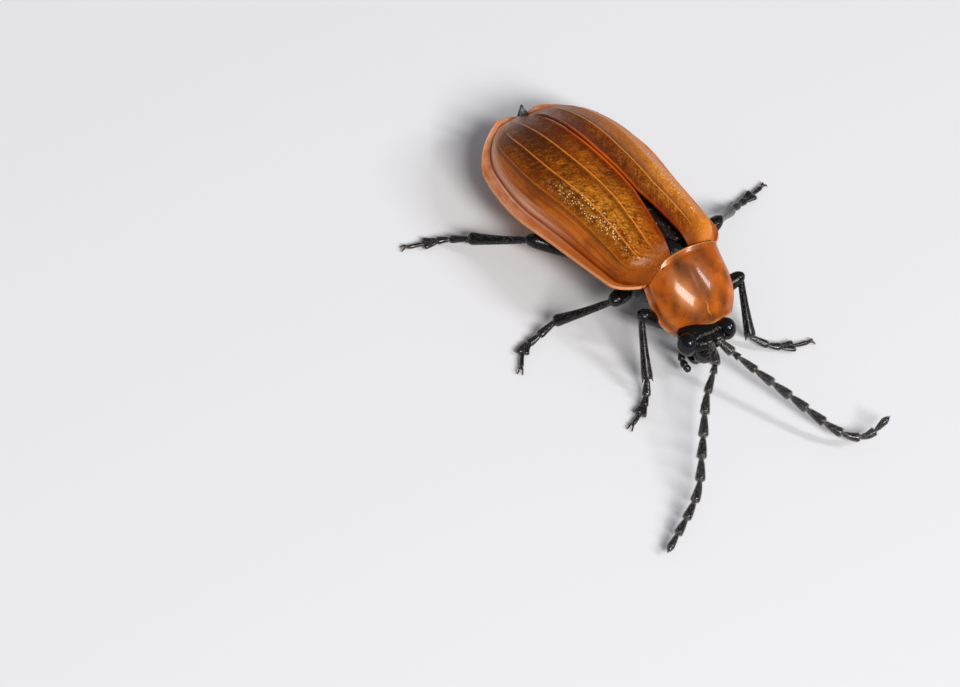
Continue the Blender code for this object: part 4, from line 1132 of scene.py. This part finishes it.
# %% Points of the legs
HIPS = {"fore": (0.55, 0.38, -1.42), "mid": (0.72, -0.95, -1.10), "hind": (0.72, -2.35, -1.04)}
LEG_POINTS = {
    ("fore", "right"): (
        (1.43, 0.41, 1.75), (1.83, 1.54, 0.5), (2.10, 1.89, 0.25), (2.46, 2.15, 0.17), (2.86, 2.33, 0.12),
    ),
    ("mid", "right"): (
        (1.76, -0.35, 1.75), (2.78, -1.27, 0.5), (3.38, -1.23, 0.25), (3.88, -1.14, 0.17),
        (4.31, -0.70, 0.12),
    ),
    ("hind", "right"): (
        (2.20, -3.31, 1.38), (3.06, -4.66, 0.5), (3.51, -5.12, 0.25), (3.96, -5.32, 0.17),
        (4.48, -5.51, 0.12),
    ),
    ("fore", "left"): (
        (-1.72, 0.77, 1.76), (-1.49, 1.86, 0.5), (-1.93, 2.25, 0.25), (-2.44, 2.52, 0.17),
        (-3.01, 2.66, 0.12),
    ),
    ("mid", "left"): (
        (-2.42, -1.05, 1.70), (-3.70, -1.76, 0.5), (-4.25, -1.93, 0.25), (-4.76, -2.04, 0.17),
        (-5.25, -2.15, 0.12),
    ),
    ("hind", "left"): (
        (-2.05, -3.45, 1.34), (-2.55, -4.90, 0.5), (-2.62, -5.45, 0.25), (-2.70, -5.90, 0.17),
        (-2.82, -6.40, 0.12),
    ),
}
LEG_SCALE = {"fore": 0.95, "mid": 1.0, "hind": 1.05}
print("legs:", ", ".join(f"{pair} {side}" for pair, side in LEG_POINTS))

# %% [markdown]
# The hips belong to the trunk and tilt with it, the other points stand on the floor. So the hips are taken to
# the floor's frame, where the whole leg is made.

# %% Points of one leg


def leg_points(pair, side):
    """Hip root, hip, knee, ankle and foot points in the floor frame."""
    hip = np.array(HIPS[pair]) * (SIDES[side], 1, 1)
    inner = hip * (0.75, 1, 1) + (0, 0, 0.42)
    return [to_frame(inner, "trunk"), to_frame(hip, "trunk"), *map(np.array, LEG_POINTS[pair, side])]


def direction(start, end):
    """The difference of two points, made one long."""
    return (end - start) / np.linalg.norm(end - start)


knee = leg_points("mid", "right")[2]
print("the right middle knee is at", knee, "mm in the floor's frame")

# %% [markdown]
# Hip, thigh and shin are one kind of tube: straight from joint to joint, with a little bow in the middle. A
# profile of shares and radii makes the thigh swell and the shin widen.

# %% Hip and thigh
HIP = ((0, 0.2), (0.35, 0.29), (0.8, 0.27), (1.0, 0.2), (1.1, 0.1))
RING_JOINT = ((0, 0.1), (0.2, 0.15), (0.8, 0.16), (1, 0.11))
THIGH = (
    (0.0, 0.13), (0.05, 0.16), (0.3, 0.215), (0.6, 0.235), (0.85, 0.215), (0.97, 0.19), (1.04, 0.14),
    (1.09, 0.05),
)


def limb(start, end, profile, scale, bow, count=40):
    """A tube between two joints whose middle bows up, or down if bow is negative, by half a sine wave."""
    share, radius = rounded(profile, count)
    path = start + (end - start) * share[:, None]
    path[:, 2] += bow * np.sin(np.pi * np.clip(share, 0, 1))
    return swept(path, radius * scale, sides=30)


def build_thigh(name, scale, root, hip, knee):
    """The hip joint, and the ring joint with the thigh; returns the rings of the thigh."""
    piece("hip_" + name, tube(limb(root, hip, HIP, scale, 0.0, 24)), "floor", ["coxa_" + name],
          black_finish)
    out = direction(hip, knee)
    ring_joint = limb(hip - out * 0.08, hip + out * 0.22, RING_JOINT, scale, 0.0, 16)
    thigh = limb(hip + out * 0.1, knee, THIGH, scale, 0.05)
    piece("thigh_" + name, together([tube(ring_joint), tube(thigh)]), "floor", ["femur_" + name],
          black_finish)
    return thigh


# %% [markdown]
# The shin ends in two short spurs beside the ankle. They taper by a power of the share that is left, which
# gives a sharper point than a straight cone.

# %% Shin and spurs
SHIN = ((-0.03, 0.06), (0.02, 0.085), (0.2, 0.10), (0.5, 0.115), (0.8, 0.145), (0.97, 0.17), (1.0, 0.14))


def build_shin(name, scale, knee, ankle):
    """The shin with its spurs; returns the rings of the shin."""
    shin = limb(knee, ankle, SHIN, scale, -0.04)
    down = direction(knee, ankle)
    across = np.cross(down, (0, 0, 1))
    across /= np.linalg.norm(across)
    t = np.linspace(0, 1, 10)[:, None]
    spurs = []
    for sign in (1, -1):
        path = ankle - down * 0.06 + across * sign * 0.11 + (down * 0.16 + across * sign * 0.05) * t
        spurs.append(tube(swept(path, 0.028 * (1 - t[:, 0]) ** 0.7 + 0.004, up=across, sides=8)))
    piece("shin_" + name, together([tube(shin), *spurs]), "floor", ["tibia_" + name],
          black_finish)
    return shin


# %% [markdown]
# A foot has four joints that run along one smooth line over the floor. The third is split into two lobes, so
# it is drawn twice, spread apart. Nothing may go through the floor, so low points are lifted to it.

# %% Joints of the foot
FOOT_JOINTS = ((0.0, 0.33, 0.075, 0.125), (0.32, 0.53, 0.075, 0.12))
LOBE = (0.52, 0.74, 0.065, 0.11)
CLAW_JOINT = (0.60, 0.99, 0.04, 0.065)
FOOT_SOLE, CLAW_SOLE = 0.012, 0.004


def joint_rings(line, begin, end, near, far, flat=1.0):
    """A cone-shaped joint on part of a line, flattened by a share, its ends rounded over."""
    profile = [(-0.02, near * 0.5), (0.08, near), (0.85, far), (0.97, far * 0.8), (1.0, far * 0.4)]
    share, radius = rounded(profile, 18)
    path = along_line(line, begin + share * (end - begin))
    return swept(path, radius, radius * flat, sides=22)


def lifted(rings, sole):
    """Rings with every height below the sole set to it."""
    rings[..., 2] = np.maximum(rings[..., 2], sole)
    return rings


def foot_parts(line, heading):
    """Rings of the four joints, the third of them as two lobes to both sides of the heading."""
    sideways = np.array([heading[1], -heading[0], 0])
    parts = [joint_rings(line, *joint, flat=0.8) for joint in FOOT_JOINTS]
    for sign in (1, -1):
        lobe = joint_rings(line, *LOBE, flat=0.7)
        spread = np.linspace(0, 1, len(lobe))[:, None, None]
        parts.append(lobe + sideways * sign * (0.02 + 0.075 * spread))
    parts.append(joint_rings(line, *CLAW_JOINT))
    return [lifted(rings, FOOT_SOLE) for rings in parts]


# %% [markdown]
# The claws are thin curved hooks of brown horn, a little paler than the black around them. Each is a tube
# whose path leaves the foot like a sine and bends down by a power of the share.

# %% Claws and the whole foot
CLAW_LENGTH, CLAW_RADIUS, CLAW_DROP = 0.22, 0.032, 0.07
CLAW_LEANS = (20, -20)
claw = Finish("claw_horn", Roughness=0.25, Coat_Weight=0.4)
claw_finish = claw.feed(Base_Color=claw.blend(claw.noise(8.0), (0.05, 0.012, 0.004), (0.012, 0.006, 0.004)))


def hook(root, along, lean):
    """A curved, pointed claw: it leaves along its direction, turned by lean, and bends down."""
    forward = turned("Z", lean) @ along
    t = np.linspace(0, 1, 14)
    path = root + forward * (CLAW_LENGTH * np.sin(t * 1.25) / np.sin(1.25))[:, None]
    path[:, 2] += 0.05 * np.sin(np.pi * np.minimum(t * 1.3, 1)) - CLAW_DROP * t**2.2
    return swept(path, CLAW_RADIUS * (1 - t) ** 0.6 + 0.006, sides=10)


def build_foot(name, ankle, foot):
    """The foot and its claws; returns the rings of the foot's joints."""
    line, _ = smooth_line([ankle, *foot], 300)
    line = line - (0, 0, 0.02)
    heading = foot[-1] - foot[-2]
    heading[2] = 0
    heading /= np.linalg.norm(heading)
    parts = foot_parts(line, heading)
    claws = [lifted(hook(line[-6], heading, lean), CLAW_SOLE) for lean in CLAW_LEANS]
    for part, rings_of_part, finish in (("foot_", parts, gloss_finish), ("claws_", claws, claw_finish)):
        surface = together([tube(rings) for rings in rings_of_part])
        piece(part + name, surface, "floor", ["tarsus_" + name], finish)
    return parts


# %% [markdown]
# One loop over the pairs and sides builds all six legs. The hind legs are a little stouter than the front
# ones, and the rings of thigh, shin and foot join the list for the hairs.

# %% Legs in place
for pair, scale in LEG_SCALE.items():
    for side in SIDES:
        name = f"{pair}_{side}"
        root, hip, knee, ankle, *foot = leg_points(pair, side)
        thigh = build_thigh(name, scale, root, hip, knee)
        shin = build_shin(name, scale, knee, ankle)
        hairy += [(thigh, "floor", 0.08, "leg", side), (shin, "floor", 0.55, "leg", side)]
        hairy += [(rings, "floor", 0.9, "leg", side) for rings in build_foot(name, ankle, foot)]
print("grids for hairs so far:", len(hairy))

# %% [markdown]
# ## Trunk under the wing cases
# Under the wing cases lie the middle and hind thorax, the abdomen and the folded wings. Modelled freely they
# could come through the shells, so the room for them is worked out from the outline of the cases. A section
# of the trunk is a low dome with a full belly below it.

# %% Room under the wing cases


def room(u, below):
    """Half width and height of the space under the cases: the outline less rim, wall and a depth."""
    width, height, rim = case_outline(u)
    wall = np.minimum(0.45, 0.42 * height)
    return width - rim - 0.6 * wall - 0.06, height - wall - below


def trunk_section(half, top, bottom):
    """x by cosines, z by sines to the 0.9 above the rim plane and to the 0.8 below it, a row per section."""
    angle = np.arange(96) * 2 * np.pi / 96
    up = np.sin(angle)
    z = np.where(up > 0, top[:, None] * np.abs(up) ** 0.9, -bottom[:, None] * np.abs(up) ** 0.8)
    return half[:, None] * np.cos(angle), z - 0.1


print("room at mid length:", np.round(room(np.array(0.5), 0.66), 2), "mm")

# %% [markdown]
# The middle and hind thorax are black and finely pitted. A table gives shares of their width and depth at
# eight places, and the creases between their plates shrink the rings a little.

# %% Thorax
THORAX = np.array([
    (0.00, 0.86, 0.72), (0.12, 0.94, 0.88), (0.35, 0.98, 0.97), (0.80, 1.00, 1.00),
    (1.40, 1.00, 1.00), (2.00, 1.00, 0.96), (2.45, 0.98, 0.86), (2.72, 0.95, 0.74),
])


def thorax():
    """Half widths up to 1.42 and depths up to 1.16, shrunk by bells where two creases and a line run."""
    y, wide, deep = THORAX.T
    half, top = room(y / CASE_LENGTH, 0.66)
    half = np.minimum(half - 0.04, 1.42) * wide
    half[0] = min(half[0], 1.0)
    fine = np.linspace(0, y[-1], 80)
    half, top, depth = (np.interp(fine, y, values) for values in (half, top, 1.16 * deep))
    x, z = trunk_section(half, top, depth)
    crease = 0.03 * bell(fine - 1.05, 0.03) + 0.02 * bell(fine - 2.3, 0.03)
    line = 0.02 * bell(np.abs(x) - 0.95 + 0.1 * fine[:, None], 0.03) * (z < -0.2)
    shrink = 1 - crease[:, None] - line
    return np.stack([x * shrink, -fine[:, None] + 0 * x, z * shrink], -1)


thorax_rings = thorax()
piece("thorax_underside", tube(thorax_rings), "trunk", ["pterothorax"], black_finish)
hairy.append((thorax_rings, "trunk", 0.16, "body", "right"))

# %% [markdown]
# The abdomen is orange, with five plates below that overlap like tiles. Five rings could be modelled and
# joined. Here each plate is a fifth of the length in which the rings swell and then drop back.

# %% Abdomen
ABDOMEN_START, ABDOMEN_END = 2.78, 6.55
PLATES = 5


def abdomen():
    """Rings that taper by 1 - share to the 3.2, swell over each plate, and close in an arc at the end."""
    share = np.linspace(0, 1, 90)
    y = ABDOMEN_START + (ABDOMEN_END - ABDOMEN_START) * share
    half, top = room(y / CASE_LENGTH, 0.80)
    taper = np.sqrt(np.clip(1 - (share * 0.985) ** 3.2, 0, 1))
    step = (share * PLATES) % 1
    swell = 0.05 * np.clip(step / 0.93, 0, 1) * (step < 0.96)
    depth = 0.98 * (0.45 + 0.55 * taper) * (0.92 - 0.3 * share) + swell - 0.01
    half = np.minimum(half, 1.72) * (0.30 + 0.70 * taper) - 0.03 + swell * 0.5 - 0.01
    round_end = np.sqrt(1 - np.clip((share - 0.86) / 0.142, 0, 1) ** 2)
    closing = 0.1 + 0.9 * round_end
    top = top * round_end * (0.25 + 0.75 * taper) - 0.12 * share
    x, z = trunk_section(half * closing, top, depth * closing)
    return np.stack([x, -y[:, None] + 0 * x, z], -1)


belly = Finish("belly_orange", Roughness=0.35, Coat_Weight=0.3, Coat_Roughness=0.15)
cloud = belly.spread(belly.noise(1.2, 4.0), 0.35, 0.65)
belly_shade = belly.blend(cloud, (0.45, 0.15, 0.02), (0.66, 0.28, 0.05))
belly_finish = belly.feed(Base_Color=belly_shade, Normal=belly.bump(belly.cells(18.0), 0.01, 0.4))
belly_rings = abdomen()
piece("belly_plates", tube(belly_rings), "trunk", ["abdomen"], belly_finish)
hairy.append((belly_rings, "trunk", 0.08, "body", "right"))

# %% [markdown]
# Between the bases of the cases sits a small black triangle, the scutellum. It is a low pad, narrower towards
# the rear, and so small that four rows of a table tell its whole form.

# %% Scutellum
SCUTELLUM = np.array(((0.03, 0.22, 0.70), (0.15, 0.215, 0.78), (0.32, 0.16, 0.82), (0.46, 0.09, 0.82)))


def scutellum():
    """Rings of a cosine across and a sine up, 0.07 above the middle and 0.3 below it."""
    behind, half, top = smooth_line(SCUTELLUM, 24)[0].T
    angle = np.arange(32) * 2 * np.pi / 32
    up = np.sin(angle)
    x = half[:, None] * np.cos(angle) * 0.98
    z = top[:, None] - 0.08 + np.where(up > 0, 0.07, 0.3) * up
    return np.stack([x, -behind[:, None] + 0 * x, z], -1)


piece("small_scutellum", tube(scutellum()), "trunk", ["scutellum"], black_finish)

# %% [markdown]
# The chest fills the neck shield from below, and carries the front legs. It follows the edges and the roof of
# the shield at a distance, and is worked out in the shield's frame, which is tilted on the trunk.

# %% Chest under the shield


def chest():
    """Rings that rise by a sine from edge to roof and fall by its power 0.9 to a keel, in the trunk frame."""
    angle = np.arange(72) * 2 * np.pi / 72
    up = np.sin(angle)
    y = np.linspace(-0.75, 1.70, 40)
    share = np.clip(y / SHIELD_LENGTH, 0, 1)
    behind = np.clip((0.55 - y) / 0.6, 0, 1)
    edge = shield_roof(share) - np.polyval(SHIELD_DROPS, share) - 0.14 - 0.30 * behind
    roof = shield_roof(share) - 0.52 - 0.55 * behind
    keel = -1.38 + 0.12 * np.abs(y - 0.9)
    above = (roof - edge)[:, None] * np.abs(up)
    below = (keel - edge)[:, None] * np.abs(up) ** 0.9
    z = edge[:, None] + np.where(up > 0, above, below)
    x = (np.polyval(SHIELD_HALVES, share) - 0.36)[:, None] * np.cos(angle)
    rings = to_frame(np.stack([x, y[:, None] + 0 * x, z], -1), "shield", "trunk")
    rings[..., 1] = np.maximum(rings[..., 1], 0.07)
    return rings


chest_rings = chest()
piece("chest_underside", tube(chest_rings), "trunk", ["prosternum"], black_finish)
hairy.append((chest_rings[:, ::-1], "trunk", 0.12, "body", "right"))

# %% [markdown]
# ## Folded wings
# The hind wings lie folded on the back as a smoky membrane with a few veins, and their tips show between the
# parted cases. Cloth could be folded by a simulation. But only a strip of it is seen, so one thin plate with
# raised veins will do, narrow enough to stay under the cases and pinched to a tail at the end.

# %% Membrane of the wings
WING_TAIL = np.array((
    (0.86, 0.42, 0.00, 0.26), (0.91, 0.24, -0.01, 0.24), (0.935, 0.24, -0.04, 0.40),
    (0.955, 0.22, -0.09, 0.60), (0.968, 0.15, -0.12, 0.70), (0.978, 0.04, -0.14, 0.78),
)).T
VEINS = (-0.55, -0.25, 0.25, 0.55)


def wing_faces():
    """x by a sine, z by a power of a cosine, with bells for veins; returns both faces and the veins."""
    u = np.array([0.08, 0.15, 0.3, 0.45, 0.6, 0.72, 0.80])
    half, top = room(u, 0.11)
    knots = np.concatenate([u, WING_TAIL[0]])
    half = np.concatenate([np.minimum(half * 0.68, 1.18), WING_TAIL[1]])
    middle = np.concatenate([0 * u, WING_TAIL[2]])
    top = np.concatenate([top, WING_TAIL[3]])
    fine = np.linspace(knots[0], knots[-1], 120)
    half, middle, top = (np.interp(fine, knots, values)[:, None] for values in (half, middle, top))
    angle = np.linspace(-np.pi / 2, np.pi / 2, 90)
    veins = sum(bell(angle - vein, 0.03) for vein in VEINS) * np.ones_like(half)
    x = half * np.sin(angle) + middle
    y = -CASE_LENGTH * fine[:, None] + 0 * x
    z = top * np.cos(angle * 0.5) ** DOME_POWER + 0.025 * veins - 0.05
    return np.stack([x, y, z], -1), np.stack([x * 0.98, y, z - 0.05 - 0.025 * veins], -1), veins


wing_upper, wing_lower, veins = wing_faces()
print("membrane:", wing_upper.shape[:2], "points in each face")

# %% [markdown]
# A real membrane is clear and smoky. Glass would show the black trunk below anyway, so the plate is simply
# dark, darker still on its veins, with a few pale flecks where folds catch the light.

# %% Finish of the wings
wing = Finish("wing_membrane", Roughness=0.35, Coat_Weight=0.3)
wing_shade = wing.blend(wing.mask("vein"), (0.028, 0.018, 0.016), (0.006, 0.004, 0.004))
flecks = wing.spread(wing.noise(9.0, 4.0, 0.7), 0.60, 0.68)
wing_finish = wing.feed(
    Base_Color=wing.blend(flecks, wing_shade, (0.35, 0.30, 0.26)),
    Normal=wing.bump(wing.noise(10.0), 0.02, 0.6),
)
piece("folded_membrane", plate(wing_upper, wing_lower), "trunk", ["folded_wings"], wing_finish,
      masks=both_faces({"vein": veins}))

# %% [markdown]
# ## Hairs
# Short pale hairs lie along the feelers, shins and feet, thinner on the underside, the brow and the lip, and
# give the black cuticle its silvery look. Blender's own hair would have to be turned into a mesh before it
# could be handed on. So each hair is a mesh at once: a thin three-sided spike, rooted in the skin and leaning
# towards the tip of its joint.

# %% Places on the skin
HAIRS_TO_SQUARE_MM = 1500
rng = np.random.default_rng(7)


def unit(vectors):
    """Vectors shortened or stretched to length one."""
    return vectors / np.maximum(np.linalg.norm(vectors, axis=1), 1e-9)[:, None]


def sample(grid, rows, columns):
    """Points, outward normals and lengthwise directions, mixed from the four grid points about each place."""
    count, around = grid.shape[:2]
    row = rows * (count - 1.001)
    column = columns * around
    r, c = row.astype(int), column.astype(int)
    fr, fc = (row - r)[:, None], (column - c)[:, None]
    a, b = grid[r, c % around], grid[r, (c + 1) % around]
    d, e = grid[r + 1, c % around], grid[r + 1, (c + 1) % around]
    spot = (a * (1 - fc) + b * fc) * (1 - fr) + (d * (1 - fc) + e * fc) * fr
    along = (d - a) * (1 - fc) + (e - b) * fc
    normal = np.cross(b - a, along)
    centre = grid.mean(axis=1)[r]
    normal *= np.sign(np.einsum("ij,ij->i", normal, spot - centre))[:, None]
    return spot, unit(normal), unit(along)


def hair_count(grid, density):
    """Density times the skin's size: the length of the line of ring centres times the mean girth."""
    length = np.linalg.norm(np.diff(grid.mean(axis=1), axis=0), axis=1).sum()
    girth = np.linalg.norm(np.diff(grid, axis=1), axis=2).sum(axis=1).mean()
    return int(density * length * girth)


print("grids with hairs:", len(hairy) + 2)

# %% [markdown]
# A hair has seven points: three round its root, three halfway up, and a tip. Places, leans, lengths and
# widths are drawn at random for thousands of hairs at once. The seed is fixed, so that every run of the
# script draws the same coat.

# %% Spikes


def spikes(roots, ways, lengths, thick):
    """A ring at each root, and a thinner one at 0.55 of the length along its way."""
    side = unit(np.cross(ways, (0.3, 0.5, 0.81)))
    other = np.cross(ways, side)
    turn = np.arange(3) * 2 * np.pi / 3
    ring = side[:, None] * np.cos(turn)[:, None] + other[:, None] * np.sin(turn)[:, None]
    near = roots[:, None] + ring * thick[:, None, None]
    middle = roots[:, None] + (ways * 0.55)[:, None] * lengths[:, None, None]
    return near, middle + ring * (thick * 0.6)[:, None, None]


def hairs_on(grid, rows, columns):
    """Seven points for each hair, none of them below the floor."""
    count = len(rows)
    spot, normal, along = sample(grid, rows, columns)
    lean = rng.uniform(0.10, 0.34, count)[:, None]
    way = unit(along + normal * lean + rng.normal(0, 0.10, (count, 3)))
    length = rng.uniform(0.045, 0.09, count)
    thick = rng.uniform(0.0016, 0.0028, count)
    near, half = spikes(spot - normal * 0.008, way, length, thick)
    tip = spot + way * length[:, None] + along * 0.01
    block = np.concatenate([near, half, tip[:, None]], axis=1).reshape(-1, 3)
    block[:, 2] = np.maximum(block[:, 2], 0.003)
    return block


# %% [markdown]
# All hairs of one part are joined to a single mesh, since thousands of objects would be slow. Each hair also
# gets a small patch of its own on the skin, for painted images: a strip per joint, and the row along it.

# %% Coats of hairs
SPIKE_SIDES = np.array([(0, 1, 4, 3), (1, 2, 5, 4), (2, 0, 3, 5)])
SPIKE_ENDS = np.array([(3, 4, 6), (4, 5, 6), (5, 3, 6), (0, 2, 1)])
SPIKE_PATCH = np.array([(0, 0), (1, 0), (0, 1), (0, 0), (1, 0), (0, 1), (1, 1)]) * 0.003


def coat(grids, density):
    """Spikes over grids of rings: more where the skin is wider, each leaning towards its joint's end."""
    points, faces, patches, first = [], [], [], 0
    for number, (grid, where, share) in enumerate(grids):
        grid = to_frame(grid, where)
        count = hair_count(grid, density * share)
        rows, columns = rng.uniform(0.06, 0.93, count), rng.uniform(0, 1, count)
        points.append(hairs_on(grid, rows, columns))
        at = first + np.arange(count)[:, None, None] * 7
        faces += [(at + SPIKE_SIDES).reshape(-1, 4), (at + SPIKE_ENDS).reshape(-1, 3)]
        strip = number / len(grids) + columns / len(grids) * 0.9
        patches.append((np.stack([strip, rows], -1)[:, None] * 0.99 + SPIKE_PATCH).reshape(-1, 2))
        first += count * 7
    return (np.concatenate(points), faces), np.concatenate(patches)


# %% [markdown]
# The hairs are silvery grey with darker ones among them. Feelers carry nearly twice as many as the rest.

# %% Hairs in place
silver = Finish("silver_hairs", Base_Color=(0.42, 0.40, 0.38, 1), Roughness=0.35, Specular_IOR_Level=0.8)
silver_shade = silver.blend(silver.noise(6.0), (0.12, 0.115, 0.11), (0.60, 0.58, 0.56))
silver_finish = silver.feed(Base_Color=silver_shade)
COATS = (("feeler", "right"), ("feeler", "left"), ("leg", "right"), ("leg", "left"), ("body", "right"))
hairy += [(brow, "head", 2.0, "body", "right"), (lip, "head", 0.16, "body", "right")]
for part, side in COATS:
    grids = [entry[:3] for entry in hairy if entry[3:] == (part, side)]
    surface, patches = coat(grids, HAIRS_TO_SQUARE_MM * (1.8 if part == "feeler" else 1.0))
    piece(f"{part}_hairs_{side}", surface, "floor", [], silver_finish, patches=patches)

# %% [markdown]
# ## Floor, light and camera
# The beetle stands on a plain pale floor. It is only there for the picture, so it is staged and no part of
# the model.

# %% Floor
FLOOR_REACH = 0.6
corners = [(x * FLOOR_REACH, y * FLOOR_REACH, 0) for x, y in ((-1, -1), (1, -1), (1, 1), (-1, 1))]
floor_mesh = bpy.data.meshes.new("pale_floor")
floor_mesh.from_pydata(corners, [], [(0, 1, 2, 3)])
floor_finish = Finish("pale_paper", Base_Color=(0.78, 0.78, 0.80, 1), Roughness=0.8)
floor_mesh.materials.append(floor_finish.material)
pale_floor = bpy.data.objects.new("pale_floor", floor_mesh)
bpy.context.scene.collection.objects.link(pale_floor)
print("floor:", 2 * FLOOR_REACH, "m wide")

# %% [markdown]
# Two soft strips of light hang above and ahead of the beetle, a strong one a little to its right and a faint
# one to its left. Point lights would give hard dots on the shell. Strips give it the long soft highlights of
# the photograph, and an even pale sky fills the shadows. A lamp shines along its own minus Z, so it is turned
# by three directions.

# %% Lamps


def aimed(name, data, place, target, up):
    """Puts a lamp or camera at a place, looking at a target, with up upwards in its picture."""
    back = (place - target) / np.linalg.norm(place - target)
    right = np.cross(up, back)
    right /= np.linalg.norm(right)
    turn = np.stack([right, np.cross(back, right), back], -1)
    made = bpy.data.objects.new(name, data)
    matrix = Matrix(turn.tolist()).to_4x4()
    matrix.translation = place.tolist()
    made.matrix_world = matrix
    bpy.context.scene.collection.objects.link(made)
    return made


def panel(name, way, length_way, size, power, colour):
    """A soft strip of light 0.32 m from the beetle, its length laid along another direction."""
    data = bpy.data.lights.new(name, "AREA")
    data.shape = "RECTANGLE"
    data.size, data.size_y = size
    data.energy, data.color = power, colour
    way = np.array(way) / np.linalg.norm(way)
    return aimed(name, data, way * 0.32, np.zeros(3), np.array(length_way))


panel("right_panel", (0.20, 0.68, 0.71), (0.35, -0.34, 0.21), (0.06, 0.16), 0.95, (1.0, 0.98, 0.95))
panel("left_panel", (-0.44, 0.565, 0.70), (0.13, -0.19, 0.22), (0.03, 0.11), 0.33, (0.97, 0.98, 1.0))
print("lamps:", len(bpy.data.lights))

# %% [markdown]
# The sky is one even pale colour, faintly blue. A picture of a sky would be mirrored in the glossy cuticle,
# and a museum model is best seen in even light. Standard leaves the colours as they are, without a film look.

# %% Sky
world = bpy.data.worlds.new("pale_sky")
world.use_nodes = True
world.node_tree.nodes["Background"].inputs["Color"].default_value = (0.93, 0.95, 1.0, 1.0)
world.node_tree.nodes["Background"].inputs["Strength"].default_value = 0.24
bpy.context.scene.world = world
bpy.context.scene.view_settings.view_transform = "Standard"
print("sky:", world.name)

# %% [markdown]
# The camera is a long lens above the beetle's right front, far enough away for an almost flat view, as in
# close-up photographs. Its directions were fitted to points of the photo, and its aim is worked out from the
# pixel on which the origin of the trunk's frame falls.

# %% Camera
RIGHT = np.array((-0.768, 0.615, 0.181))
UP = np.array((-0.406, -0.684, 0.606))
TO_CAMERA = np.array((0.496, 0.392, 0.775))
DISTANCE = 220.0
PIXELS_TO_MM = 37.6
WIDTH, HEIGHT = 960, 687
TRUNK_PIXEL = (676.7, 270.4)
lens = bpy.data.cameras.new("macro_lens")
lens.sensor_width = 36.0
lens.lens = DISTANCE * PIXELS_TO_MM * lens.sensor_width / WIDTH
lens.clip_start, lens.clip_end = 0.01, 10.0
aim = trunk_place + RIGHT * (WIDTH / 2 - TRUNK_PIXEL[0]) / PIXELS_TO_MM
aim = aim + UP * (TRUNK_PIXEL[1] - HEIGHT / 2) / PIXELS_TO_MM
eye_point = trunk_place + TO_CAMERA * DISTANCE
camera = aimed("camera", lens, eye_point * MM, aim * MM, UP)
bpy.context.scene.camera = camera
print("lens", round(lens.lens, 1), "mm at", (eye_point * MM).round(4))
